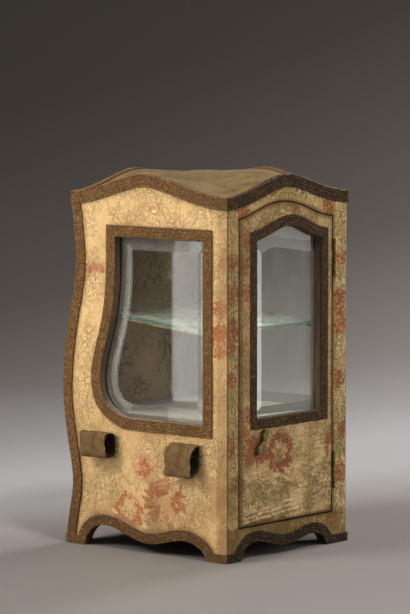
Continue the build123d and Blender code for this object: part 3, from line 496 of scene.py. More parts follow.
class Spray:
    """Blooms, leaves, stems and strokes on one cover, in millimetres across and high. A strength of 1 is fresh dye."""

    def __init__(self, seed):
        self.draw = Random(seed)
        self.blooms, self.leaves, self.stems, self.dabs = [], [], [], []

    def each(self, grow, *rows):
        """Grows one motif for each row of what it takes."""
        for row in rows:
            grow(self, *row)
        return self

    def rose(self, across, height, radius, strength):
        """A round bloom, turned at random."""
        self.blooms.append((across, height, radius, self.draw.uniform(0, 2 * pi), strength, 1.0))
        return self

    def wreath(self, across, height, radius, petal, strength=1.0, start=0, end=360, squeeze=1.0):
        """An open flower: petals along a ring or a part of it, with gaps where the dye has gone."""
        count = int(abs(end - start) / 360 * 2 * pi * radius / (petal * 1.25))
        for i in range(count):
            turn = radians(start + (end - start) * (i + 0.5) / count)
            reach = radius * self.draw.uniform(0.85, 1.12)
            self.rose(across + squeeze * reach * cos(turn), height + reach * sin(turn),
                      petal * self.draw.uniform(0.8, 1.2), strength * self.draw.uniform(0.7, 1.0))
        return self

    def sunburst(self, across, height, inner, outer, count, wide, start=0, end=360, lean=12, squeeze=1.0):
        """A flower drawn with strokes that run outwards, like a chrysanthemum, or a part of one."""
        for i in range(count):
            turn = radians(start + (end - start) * (i + 0.5) / count) + self.draw.uniform(-0.05, 0.05)
            reach = (inner * self.draw.uniform(0.8, 1.25), outer * self.draw.uniform(0.82, 1.1))
            ends = [(across + squeeze * far * cos(turn + sway), height + far * sin(turn + sway))
                    for far, sway in zip(reach, (0, radians(lean) * self.draw.uniform(0.4, 1.6)))]
            self.dabs.append((*np.array(ends), wide / 2 * self.draw.uniform(0.7, 1.25)))
        return self

    def palm(self, across, height, heading, leaf, count, spread=150, strength=0.8, plump=1.5):
        """Broad leaves that fan out from one place."""
        for i in range(count):
            lean = radians(heading + spread * ((i + 0.5) / count - 0.5))
            self.leaves.append((across, height, leaf * self.draw.uniform(0.8, 1.15), lean, strength, plump))
        return self

    def branch(self, across, height, heading, long, bloom, leaf, pairs, bend, strength, steps=12):
        """A stem that starts at a place and bends to one side, with leaves, and with a bloom of that radius."""
        place, turn = np.array([across, height], float), radians(heading)
        points = [place.copy()]
        for _ in range(steps):
            turn += radians(bend) / steps
            place = place + long / steps * np.array([cos(turn), sin(turn)])
            points.append(place.copy())
        self.stems.append(np.array(points))
        for pair in range(pairs):
            at = points[int((pair + 1) * steps / (pairs + 1))]
            for side in (-1, 1):
                reach = leaf * self.draw.uniform(0.75, 1.15)
                lean = turn + side * radians(self.draw.uniform(38, 68))
                self.leaves.append((*at, reach, lean, strength, 1.0))
        if bloom:
            self.rose(*place, bloom, strength)
        return self

    def scatter(self, low, high, count, leaf, long, bloom, strength):
        """Faint small sprigs, one in each cell of a loose grid."""
        low, high = np.array(low, float), np.array(high, float)
        for i in range(count[0]):
            for j in range(count[1]):
                share = (np.array([i, j]) + [self.draw.uniform(0.15, 0.85) for _ in range(2)]) / count
                self.branch(*(low + share * (high - low)), self.draw.uniform(50, 130), long,
                            bloom if (i + j) % 2 else 0.0, leaf, 2, self.draw.choice((-50, 50)), strength)
        return self

    def marks(self, flat):
        """For each point: its place in the nearest bloom and leaf, their strengths with the stem's gap, and how far
        it is from the nearest stroke."""
        bloom, bloom_tint = self.nearest(flat, self.blooms, np.hypot)
        leaf, leaf_tint = self.nearest(flat, self.leaves, lambda x, y: np.hypot((x - 0.5) / 0.6, y / 0.32))
        stem = np.full(len(flat), FAR)
        for run in self.stems:
            for start, end in zip(run[:-1], run[1:]):
                stem = np.minimum(stem, segment_gap(flat, start, end))
        dab = np.full(len(flat), FAR)
        for start, end, half in self.dabs:
            dab = np.minimum(dab, segment_gap(flat, start, end) - half)
        return bloom, leaf, np.column_stack([bloom_tint, leaf_tint, stem]), dab

    @staticmethod
    def nearest(flat, motifs, distance):
        """Each point's place in the motif that is nearest by this distance, with the distance, and its strength."""
        best, tint = np.full((len(flat), 3), FAR), np.zeros(len(flat))
        for across, height, size, turn, strength, plump in motifs:
            dx, dy = (flat - (across, height)).T / size
            x, y = dx * cos(turn) + dy * sin(turn), (dy * cos(turn) - dx * sin(turn)) / plump
            found = np.stack([x, y, distance(x, y)], -1)
            nearer = found[:, 2] < best[:, 2]
            best[nearer], tint[nearer] = found[nearer], strength
        return best, tint


def segment_gap(flat, start, end):
    """Distance of many flat points to one straight stretch."""
    along = end - start
    share = np.clip(((flat - start) @ along) / max(along @ along, 1e-9), 0, 1)
    return np.linalg.norm(flat - start - share[:, None] * along, axis=1)


example = Spray(1).branch(0, 0, 90, 30, bloom=5, leaf=9, pairs=3, bend=40, strength=1)
print(f"one branch has {len(example.leaves)} leaves and {len(example.blooms)} bloom")


# %% [markdown]
# ## Cloth as a closed sheet
# A flat outline is filled with a fine hexagonal net of points, so that the cloth can be raised anywhere by a function:
# soft waves, crinkles, or the roll where silk turns over an edge. The sheet then gets a back and a rim, and its
# cut size is worked out, since that is what was glued on.

# %% Fill an outline with a net of points
def finer(loop, step):
    """A closed loop with its long edges divided."""
    points = []
    for start, end in zip(loop, np.roll(loop, -1, 0)):
        parts = max(1, int(np.ceil(np.linalg.norm(end - start) / step)))
        points.extend(start + (end - start) * i / parts for i in range(parts))
    return np.array(points)


def inside(loop, points):
    """Which points lie inside a closed loop."""
    x, y = points.T
    crossed = np.zeros(len(points), bool)
    for (x0, y0), (x1, y1) in zip(loop, np.roll(loop, -1, 0)):
        if y0 != y1:
            crossed ^= ((y0 > y) != (y1 > y)) & (x < (x1 - x0) * (y - y0) / (y1 - y0) + x0)
    return crossed


def edge_gap(loops, points):
    """Distance of each point to the nearest outline."""
    gap = np.full(len(points), np.inf)
    for loop in loops:
        for start, end in zip(loop, np.roll(loop, -1, 0)):
            gap = np.minimum(gap, segment_gap(points, start, end))
    return gap


def net(loops, step):
    """Points and triangles that fill the first loop and leave the others open."""
    rims = [finer(loop, step) for loop in loops]
    low, high = rims[0].min(0), rims[0].max(0)
    rows = np.arange(low[1], high[1], step * sin(radians(60)))
    grid = np.array([(x + (i % 2) * step / 2, y) for i, y in enumerate(rows)
                     for x in np.arange(low[0], high[0], step)])
    keep = inside(rims[0], grid)
    for hole in rims[1:]:
        keep &= ~inside(hole, grid)
    grid = grid[keep]
    grid = grid[edge_gap(loops, grid) > 0.6 * step]
    edges, first = [], 0
    for rim in rims:
        edges += [(first + i, first + (i + 1) % len(rim)) for i in range(len(rim))]
        first += len(rim)
    points = np.vstack([*rims, grid])
    made = geometry.delaunay_2d_cdt([Vector(point) for point in points], edges, [], 1, 1e-5)
    points, triangles = np.array([tuple(point) for point in made[0]]), np.array(made[2])
    middles = points[triangles].mean(1)
    solid = inside(rims[0], middles)
    for hole in rims[1:]:
        solid &= ~inside(hole, middles)
    return points, triangles[solid]


def rectangle(low, high):
    """The loop of an upright rectangle."""
    return np.array([(low[0], low[1]), (high[0], low[1]), (high[0], high[1]), (low[0], high[1])], float)


print("a square centimetre in steps of 1 mm:", len(net([rectangle((0, 0), (10, 10))], 1.0)[1]), "triangles")


# %% Close the sheet
def shell(name, front, back, triangles):
    """A closed mesh with a front, a back and a rim, from two sets of points with the same triangles."""
    count = len(front)
    directed = {(int(t[i]), int(t[(i + 1) % 3])) for t in triangles for i in range(3)}
    rim = [(a, b) for a, b in directed if (b, a) not in directed]
    faces = [tuple(t) for t in triangles.tolist()]
    faces += [(c + count, b + count, a + count) for a, b, c in triangles.tolist()]
    faces += [(b, a, a + count, b + count) for a, b in rim]
    mesh = bpy.data.meshes.new(name)
    mesh.from_pydata((np.vstack([front, back]) * MM).tolist(), [], faces)
    shape = bmesh.new()
    shape.from_mesh(mesh)
    loose = [point for point in shape.verts if not point.link_faces]
    bmesh.ops.delete(shape, geom=loose, context="VERTS")
    bmesh.ops.recalc_face_normals(shape, faces=shape.faces)
    shape.to_mesh(mesh)
    shape.free()
    return placed(name, mesh)


def write(mesh, **attributes):
    """Stores one number or one vector for each point of a mesh, under each name."""
    for name, values in attributes.items():
        vector = values.ndim == 2
        made = mesh.attributes.new(name, "FLOAT_VECTOR" if vector else "FLOAT", "POINT")
        made.data.foreach_set("vector" if vector else "value", values.astype(np.float32).ravel())


def doubled(values):
    """The values of a sheet's front, given to its back as well."""
    return np.concatenate([values, values])


def smooth(piece):
    """Shades a piece as one soft surface."""
    piece.data.polygons.foreach_set("use_smooth", [True] * len(piece.data.polygons))
    piece.data.update()


# %% Lay a cover
UNDER = 0.02  # the film of glue under a cover
SETTLE = 2.0  # beyond what presses it, the cloth rises to its own relief over this
LEAST_CUT = 0.3  # a narrow frame of cloth has turnings: the least share of its rectangle


def cover(name, node, face, loops, relief, spray, material, step=1.5, body="case", slot="brocade", pressed=None):
    """A cover of cloth over one face, shaped by relief(across, height, edge distance) in millimetres. Around its
    openings the galloon presses it flat, as far out as pressed says."""
    points, triangles = net(loops, step)
    used = np.unique(triangles)
    renumber = np.full(len(points), -1)
    renumber[used] = np.arange(len(used))
    points, triangles = points[used], renumber[triangles]
    gap = edge_gap(loops, points)
    lift = np.array([relief(a, h, g) for (a, h), g in zip(points, gap)])
    if pressed is not None:
        free = np.clip((edge_gap(loops[1:], points) - pressed) / SETTLE, 0, 1)
        lift = SILK_T + (lift - SILK_T) * np.where(lift > SILK_T, free, 1)
    piece = shell(name, face.place(points, lift), face.place(points, UNDER), triangles)
    bloom, leaf, tint, dab = spray.marks(points)
    low, high = np.percentile(lift[gap > 1.5], (20, 93))  # what counts as a dip and as a crest in this cloth
    crest = np.clip((lift - low) / max(high - low, 0.01), 0, 1)
    write(piece.data, cloth=doubled(np.column_stack([points, gap])), bloom=doubled(bloom), leaf=doubled(leaf),
          tint=doubled(tint), crest=doubled(crest), stroke=doubled(dab))
    piece.data.materials.append(material)
    smooth(piece)
    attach(piece, body)
    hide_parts(node)
    flat = loops[0].max(0) - loops[0].min(0)
    cut = sum(sign * area_of(loop) for sign, loop in zip([1] + [-1] * len(loops), loops))
    cut = max(cut, LEAST_CUT * flat[0] * flat[1])
    tuple(flat * MM)
    cut * MM * MM
    print(f"{name}: {len(triangles)} triangles, cut from {flat[0]:.0f} x {flat[1]:.0f} mm, {cut / 100:.0f} cm2")
    return piece


# %% Measure flat paths
def spaced(path, closed, least=0.05):
    """A path without points that nearly coincide."""
    kept = [path[0]]
    for point in path[1:]:
        if np.linalg.norm(point - kept[-1]) > least:
            kept.append(point)
    if closed and np.linalg.norm(kept[0] - kept[-1]) < least:
        kept.pop()
    return np.array(kept)


def area_of(loop):
    """The area inside a closed flat loop."""
    x, y = loop.T
    return abs(float(np.dot(x, np.roll(y, -1)) - np.dot(y, np.roll(x, -1)))) / 2


print(f"the side's silk is cut from {area_of(side_outline) / 100:.0f} cm2, window and all")


# %% [markdown]
# ## How the silk lies
# On the sides the glue has held and the silk is nearly flat. On the front and the door it has come loose and
# crinkled, and at the foot of the door it has slipped into long folds.

# %% Relief of the covers
def ramp(value):
    """A number, held between 0 and 1."""
    return min(1.0, max(0.0, value))


def swell(across, height, wide, tall, seed):
    """Soft waves from about -1 to 1, of a given width and height."""
    return noise.noise(Vector((across / wide, height / tall, seed)))


def crinkle(across, height, wide, tall, seed):
    """Sharp-crested crinkles from 0 to 1, of a given width and height."""
    return 1 - min(1.0, 2.2 * abs(swell(across, height, wide, tall, seed)))


def rolled(edge, radius):
    """A quarter round at the edge, from 0 to 1."""
    return 1.0 if edge >= radius else (1 - (1 - edge / radius) ** 2) ** 0.5


def side_relief(across, height, edge):
    """Nearly flat, with a few fine creases."""
    soft = swell(across, height, 23, 31, 3.1)
    fine = crinkle(across, height, 5.0, 7.0, 8.0) ** 3
    return SILK_T * rolled(edge, 0.5) + ramp(edge / 8) * (0.10 + 0.16 * soft + 0.10 * fine)


def calm_relief(start, over, base, depth, wide, tall, seed):
    """A relief of soft waves that starts at a distance from the edge and is full a little further in."""
    return lambda across, height, edge: (SILK_T + ramp((edge - start) / over)
                                         * (base + depth * swell(across, height, wide, tall, seed)))


def front_relief(across, height, edge):
    """Tall narrow crinkles, deeper on the right."""
    right = 1.0 if across > 0 else 0.45
    tall = crinkle(across, height, 3.2, 17.0, 2.0) ** 2 * right
    fine = crinkle(across, height, 4.6, 5.5, 5.0) ** 2
    lip = 1.0 if abs(across) > SIDE_X - 1 else rolled(edge, 0.6)  # at the case's corners the two silks meet
    return SILK_T * lip + ramp(edge / 2.5) * (1.0 * tall + 0.4 * fine)


FOLD_PITCH, FOLD_SLOPE = 3.6, 0.09  # the long folds' distance, and how much they rise to the right
LATCH_PLACE, LATCH_R = (-38, 96), 12  # where the latch and its lever hold the silk flat


def long_folds(across, height):
    """Folds that start at the door's lower left corner, rise a little to the right and fade."""
    rise = height - 31.0 - FOLD_SLOPE * (across + 56) - 1.6 * swell(across, 0.0, 15, 1, 7.0)
    fade = ramp((20 - across) / 16) * ramp((64 + across) / 10)
    if not -1.8 < rise < 9.5:  # half a fold below the first, and no more than three
        return 0.0
    return fade * max(0.0, cos(rise * 2 * pi / FOLD_PITCH)) ** 1.5 * (1 - max(0.0, rise) / 11)


def door_relief(across, height, edge):
    """Puffed up between its edges, with crinkles both ways and the long folds at the foot."""
    puff = 0.9 * rolled(edge, 3.6) * (0.5 + 0.5 * rolled(max(0.0, 60 - across), 9.0))
    tall = crinkle(across, height, 4.0, 12.0, 11.0) ** 2
    level = crinkle(across, height, 19.0, 3.4, 17.0) ** 3 * ramp((108 - height) / 10)
    fine = crinkle(across, height, 5.0, 4.5, 15.0) ** 2
    soft = swell(across, height, 17, 12, 5.0)
    from_latch = hypot(across - LATCH_PLACE[0], height - LATCH_PLACE[1]) - LATCH_R
    calm = ramp(edge / 3.0) * ramp(from_latch / 8)
    return (SILK_T * rolled(edge, 0.6) + puff * min(1.0, edge)
            + calm * (0.25 * tall + 0.25 * fine + 0.6 * level + 0.6 * soft) + 2.3 * long_folds(across, height))


back_relief = calm_relief(0, 8, 0.10, 0.16, 27, 35, 9.1)
roof_relief = calm_relief(5, 8, 0.35, 0.3, 21, 17, 4.0)
floor_relief = calm_relief(0, 5, 0.25, 0.3, 19, 26, 6.0)
print(f"the side's silk stands {side_relief(0, 150, 20):.2f} mm off the wood in its middle")

# %% [markdown]
# ## The covers
# Each cover reads its outline from the model's plain cloth and takes its place. The sprays are laid out where
# the eye goes, low on the side and on the door, and scattered faintly elsewhere.

# %% Cover the sides
def flat_loops(node, axis, sense, steep=0.9):
    """A node's outlines, seen along one axis."""
    seen = [i for i in range(3) if i != axis]
    return [loop[:, seen] for loop in outlines(node, axis, sense, steep)]


left_spray = Spray(4)
left_spray.each(Spray.scatter, ((-80, 28), (74, 100), (6, 3), 9, 24, 0, 0.3),
                ((-80, 270), (74, 306), (6, 1), 8, 22, 0, 0.3), ((48, 110), (84, 250), (1, 5), 8, 22, 0, 0.3))
left_spray.each(Spray.rose, (3, 72, 13, 0.5), (-13, 46, 12, 0.3), (-19, 34, 6, 0.6), (-14, 57, 6, 0.8))
left_spray.each(Spray.sunburst, (3, 71, 4, 7.5, 8, 2.2, 20, 330, 40), (3, 68, 0, 2.5, 3, 1.9),
                (-12, 46, 6, 13.5, 17, 2.4, -130, 130, 30, 1.1), (-15, 49, 2, 6, 6, 1.9, -60, 120, 40),
                (-9, 34, 1, 6, 6, 2.0, 150, 330, 30), (19, 34, 10, 15, 24, 2.3, 140, 400, 35, 1.1),
                (19, 35, 10, 13, 7, 1.3, 40, 140, 20), (19, 34, 3, 8, 9, 0.7, 150, 400, 30),
                (-36, 45, 5, 9, 13, 2.0, -190, 110, 40), (-36, 45, 1, 3.5, 4, 1.4, 0, 360, 40))
left_spray.each(Spray.wreath, (19, 34, 11, 4.8, 0.35, 60, 360), (-36, 45, 6.5, 3.6, 0.4, -150, 170))
left_spray.each(Spray.sunburst, (-24, 60, 1, 4.5, 6, 1.5), (-81, 188, 2, 9, 9, 2.2, 0, 360, 25),
                (-80, 209, 2, 7, 7, 1.8, 0, 360, 25), (-80, 173, 1, 6, 6, 1.7))
left_spray.each(Spray.rose, (-27, 25, 4, 0.8), (-21, 63, 3.5, 0.8), (59, 237, 4.5, 1.0), (50, 236, 4.5, 1.0),
                (-80, 209, 8, 0.8), (-81, 187, 10, 0.9), (-80, 175, 7, 0.8), (-84, 246, 5, 0.8), (-60, 100, 6, 0.3),
                (64, 236, 4.5, 1.0))
left_spray.each(Spray.branch, (-4, 50, 165, 44, 0, 13, 4, -40, 0.5), (8, 52, 20, 46, 0, 13, 4, 50, 0.5))
left_spray.each(Spray.palm, (-10, 32, -90, 15, 5, 160, 0.45), (40, 60, 60, 14, 4, 140, 0.35))

right_spray = Spray(9)
right_spray.each(Spray.scatter, ((-80, 28), (74, 100), (6, 3), 9, 24, 5, 0.22),
                 ((-80, 270), (74, 306), (6, 1), 8, 22, 4, 0.22), ((48, 110), (84, 250), (1, 5), 8, 22, 4, 0.22))
right_spray.each(Spray.rose, (-20, 62, 12, 0.9), (18, 34, 10, 0.8), (40, 66, 8, 0.8), (-52, 38, 7, 0.8))
right_spray.each(Spray.branch, (-20, 48, 200, 40, 4, 13, 4, 40, 0.5), (18, 46, 30, 44, 5, 13, 4, 40, 0.5))

for side, face, sense, spray in (("left", left_face, -1, left_spray), ("right", right_face, 1, right_spray)):
    silk = f"{side}_side_silk"
    cover(f"{side}_side_cover", silk, face, flat_loops(silk, 0, sense), side_relief, spray, side_silk, pressed=6.5)

# %% Cover the front
front_spray = Spray(12)
for across, height, radius in ((-73, 221, 9), (-74, 192, 10), (-76, 179, 8), (-72, 249, 7), (-74, 150, 7), (-78, 96, 9),
                               (-66, 62, 8), (69, 207, 11), (71, 188, 11), (72, 243, 7), (66, 140, 9), (76, 96, 9),
                               (70, 60, 10), (-60, 288, 8), (55, 289, 9), (-20, 303, 5), (58, 22, 10), (4, 18, 9)):
    front_spray.rose(across, height, radius, 0.95)
front_spray.each(Spray.scatter, ((-78, 20), (-66, 290), (1, 9), 11, 22, 0, 0.6),
                 ((64, 20), (77, 290), (1, 9), 11, 22, 0, 0.7), ((-60, 284), (60, 300), (7, 1), 9, 16, 0, 0.55))
cover("front_cover", "front_silk", front_face, flat_loops("front_silk", 1, -1), front_relief, front_spray,
      front_silk, step=1.3)

# %% Cover the door
def eased(loop, corner, radius):
    """A loop whose corner nearest to a place is rounded."""
    at = int(np.argmin(np.hypot(*(loop - corner).T)))
    before, here, after = loop[at - 1], loop[at], loop[(at + 1) % len(loop)]
    start, end = (here + radius * (way - here) / np.linalg.norm(way - here) for way in (before, after))
    arc = [(1 - s) ** 2 * start + 2 * s * (1 - s) * here + s ** 2 * end for s in np.linspace(0, 1, 7)]
    return np.vstack([loop[:at], arc, loop[at + 1:]])


door_loops = flat_loops("door_silk", 1, -1)
door_loops[0] = eased(spaced(door_loops[0], True), (65, 25), 6.0)
door_spray = Spray(21)
door_spray.each(Spray.sunburst, (-13, 85, 10.5, 16.5, 24, 3.2, -215, 95, 22), (-13, 85, 11, 15.5, 8, 1.8, 95, 145),
                (-13, 84, 2, 7, 7, 0.9, 20, 300), (-45, 104, 10, 27, 9, 2.8, -125, -50, 6, 0.9),
                (-50, 104, 4, 14, 7, 2.2, -150, -20, 6, 0.8), (54, 84, 3, 11, 9, 1.8, 60, 250, 8, 0.5))
door_spray.each(Spray.rose, (-58, 104, 7, 0.95), (-56, 120, 8, 0.95), (-58, 88, 6, 0.8), (57, 94, 6, 0.85),
                (-60, 243, 9, 0.95), (-55, 265, 7, 0.95), (-57, 222, 8, 0.9), (-58, 178, 7, 0.5), (10, 287, 4.5, 1.0),
                (57, 90, 6, 0.8), (-62, 62, 6, 0.8), (-50, 212, 6, 0.7))
door_spray.each(Spray.palm, (-38, 62, 265, 23, 4, 220, 0.9, 1.1), (-2, 60, 250, 20, 4, 230, 0.85, 1.1),
                (-18, 40, 95, 17, 3, 120, 0.8), (28, 32, 90, 15, 5, 120, 0.7, 1.2))
door_spray.each(Spray.branch, (24, 40, 75, 46, 0, 9, 6, 30, 0.7), (44, 34, 95, 50, 0, 9, 6, 20, 0.7))
door_spray.each(Spray.scatter, ((-4, 74), (54, 104), (4, 2), 7, 14, 0, 0.5),
                ((-62, 110), (-50, 280), (1, 6), 10, 22, 0, 0.6), ((53, 110), (60, 280), (1, 6), 9, 20, 0, 0.6))
cover("door_cover", "door_silk", front_face, door_loops, door_relief, door_spray, door_silk, step=1.2, body="door",
      pressed=7.0)

# %% Cover the back and line it
back_spray = Spray(30).scatter((-70, 30), (70, 300), (5, 7), 11, 30, 6, 0.35)
for across, height, radius in ((-22, 236, 13), (34, 176, 14), (-30, 112, 13), (24, 58, 11)):
    back_spray.rose(across, height, radius, 0.85)
    back_spray.branch(across, height - radius, 250, 44, 0, 14, 4, 30, 0.6)
    back_spray.branch(across + 6, height + radius, 60, 30, 5, 12, 3, -40, 0.6)
cover("back_cover", "back_silk", back_face, flat_loops("back_silk", 1, 1, 0.7), back_relief, back_spray, side_silk,
      step=2.2)

lining_spray = Spray(41).scatter((-66, 110), (66, 286), (5, 6), 9, 30, 0, 0.6)
for across, height, radius in ((11, 241, 10), (-19, 163, 9), (44, 176, 9), (-46, 232, 8), (52, 258, 8), (8, 128, 8)):
    lining_spray.rose(across, height, radius * 0.45, 1.0).sunburst(across, height, radius * 0.5, radius * 1.5, 15, 1.3)
    lining_spray.sunburst(across, height - 0.6 * radius, radius * 1.1, radius * 2.3, 9, 1.4, 200, 340, 25)
cover("back_lining_cloth", "back_lining", Back(5.0), flat_loops("back_lining", 1, -1, 0.7), back_relief,
      lining_spray, lining_silk_in_shade, step=2.2)


# %% [markdown]
# ## The roof and the display floor
# The roof is one piece of plain silk over two crossed arches, one along the sides and one along the front. Where they
# meet, cloth makes no sharp valley, so the higher of the two curves is taken with a softened join. The join sharpens
# towards the edges, where the silk has to meet the galloon.

# %% Height of the roof
def crown_of(outline):
    """The arched top of an outline, from its lower end of the first axis to the higher."""
    top = outline[outline[:, 1] > CORNER_Z - 0.05]
    return top[np.argsort(top[:, 0])]


front_outline = flat_loops("front_silk", 1, -1)[0]
side_crown, front_crown = crown_of(side_outline), crown_of(front_outline)


def roof_height(across, depth):
    """Height of the roof's wood, softened where the two arches cross."""
    over_side = np.interp(depth, side_crown[:, 0], side_crown[:, 1])
    over_front = np.interp(across, front_crown[:, 0], front_crown[:, 1])
    rim = np.minimum(SIDE_X - np.abs(across), np.minimum(depth - FRONT_Y, BACK_TOP_Y - depth))
    blend = 0.3 + 6.0 * np.clip((rim - 5) / 20, 0, 1)
    nearness = np.clip(1 - np.abs(over_side - over_front) / blend, 0, 1)
    return np.maximum(over_side, over_front) + nearness ** 2 * blend / 4


class Roof(Face):
    """The roof as a face: across and depth, raised from the wood."""

    def foot(self, flat):
        across, depth = flat.T
        return np.stack([across, depth, roof_height(across, depth)], -1)


print(f"the roof rises from {roof_height(SIDE_X, FRONT_Y):.1f} to {roof_height(0, 0):.1f} mm")

# %% Weave the plain silk
PLAIN_THREAD = 0.7  # pitch of the plain silk's threads


def plain_silk(thread, stained):
    """A recipe for plain woven silk with a stain."""

    def build(graph):
        across, height, edge = graph.split(graph.attribute("cloth"))
        flat = graph.join(across, height)
        weave = across.waves(PLAIN_THREAD) * height.waves(PLAIN_THREAD)
        slub = graph.blots(graph.join(across * 0.15, height * 2.2), 1.0, 2.0)
        blot = graph.blots(flat, 38.0, 3.0, 0.6).step(0.4, 0.66)
        spots = graph.blots(flat, 5.0, 3.0, 0.65).step(0.56, 0.74)
        streaks = graph.blots(graph.join(across * 0.22, height), 4.0, 3.0, 0.6).step(0.46, 0.7)
        pale = tuple(channel * 1.25 for channel in thread)
        cloth = graph.layers(thread, (blot * 0.55 + spots * 0.3 + streaks * 0.3, stained),
                             (slub.step(0.4, 0.8) * 0.22, pale), (edge.step(4.0, 0.0) * 0.4, stained))
        return {"Base Color": cloth, "Roughness": 0.72 - 0.1 * slub,
                "Normal": graph.bump(weave * 0.4 + slub * 0.6, 0.12 * MM, 0.5)}

    return build


roof_silk = finish("roof_silk", plain_silk((0.265, 0.180, 0.072), (0.105, 0.064, 0.022)), Sheen_Weight=0.04,
                   Specular_IOR_Level=0.2)
floor_silk = finish("floor_silk", plain_silk((0.16, 0.13, 0.09), (0.10, 0.075, 0.045)), Sheen_Weight=0.1)


# %% Cover the roof and the display floor
bare = Spray(0)
for name, face, relief, material, step in (
        ("roof", Roof(2, 0, 1), roof_relief, roof_silk, 2.0),
        ("floor", Face(2, corners("floor_silk")[0][2], 1), floor_relief, floor_silk, 2.4)):
    silk = f"{name}_silk"
    cover(f"{name}_cover", silk, face, [rectangle(*corners(silk))], relief, bare, material, step, slot="plain_silk")


# %% [markdown]
# ## Galloon
# Galloon is a flat braid of metal thread. Its two edges are cords, and between them the threads cross in a herringbone.
# The model's bands keep their place as the ground of the braid, and the raised stitches are added with Geometry Nodes:
# each row is a line that runs beside the band's edge, and the tree sets a small grain of thread every millimetre.

# %% Gather the rows
def beside(path, gap, closed):
    """A flat path moved to its left by a gap, with mitred corners."""
    before = np.roll(path, 1, 0) if closed else np.vstack([2 * path[0] - path[1], path[:-1]])
    after = np.roll(path, -1, 0) if closed else np.vstack([path[1:], 2 * path[-1] - path[-2]])
    arriving, leaving = path - before, after - path
    arriving /= np.linalg.norm(arriving, axis=1)[:, None]
    leaving /= np.linalg.norm(leaving, axis=1)[:, None]
    lefts = [np.stack([-way[:, 1], way[:, 0]], -1) for way in (arriving, leaving)]
    shared = 1 + np.sum(lefts[0] * lefts[1], 1)
    return path + gap * (lefts[0] + lefts[1]) / np.maximum(shared, 0.4)[:, None]


class Braid:
    """Rows of stitches on the galloon of one body."""

    CORD = (1.8, 1.2, 1.1)  # length, width and height of one grain in a cord
    STITCH = (2.1, 1.15, 0.95)  # and of one herringbone stitch
    FOLD_STITCH = (2.9, 1.2, 0.9)  # and of one on the fold over the roof's edge
    WHISKER = (3.0, 0.3, 0.3)  # and of a loose thread end
    FULL_WIDTH = 8.0  # a narrower band has finer stitches

    def __init__(self):
        self.points, self.edges, self.out, self.slant, self.wild, self.grain = [], [], [], [], [], []

    def row(self, points, out, slant, grain, closed=False, wild=8):
        """One line of grains with a slant, which varies by wild. Angles are in degrees."""
        first, count = len(self.points), len(points)
        self.points += points.tolist()
        self.out += np.broadcast_to(out, (count, 3)).tolist()
        self.slant += [radians(slant)] * count
        self.wild += [radians(wild)] * count
        self.grain += [grain] * count
        self.edges += [(first + i, first + i + 1) for i in range(count - 1)]
        if closed:
            self.edges.append((first + count - 1, first))

    def band(self, face, path, near, far, lift, closed=False):
        """A whole band between two distances to the left of a path on a face."""
        path = spaced(path, closed)
        wide = far - near
        size = min(1.0, abs(wide) / self.FULL_WIDTH)
        rows = [(0.05, 38, self.CORD, 14), (0.95, -38, self.CORD, 14), (0.03, 80, self.WHISKER, 60),
                (0.97, 80, self.WHISKER, 60)]
        rows += [(0.2 + 0.15 * i, 48 * (-1) ** i, self.STITCH, 22) for i in range(5)]
        for share, slant, grain, wild in rows:
            line = beside(path, near + share * wide, closed)
            grain = tuple(length * size for length in grain)
            self.row(face.place(line, lift), face.normal(line), slant, grain, closed, wild)


print(f"a cord's grains are {Braid.CORD[0]} mm long, a herringbone stitch {Braid.STITCH[0]} mm")


# %% [markdown]
# The tree for the stitches is short: each line becomes a curve, the curve is divided at the pitch, and a grain is set
# on each point. The stored direction stands the grain on the band, the curve's tangent lays it along the row, and the
# stored slant turns it. A seed makes the stitches a little uneven, as old braid is.

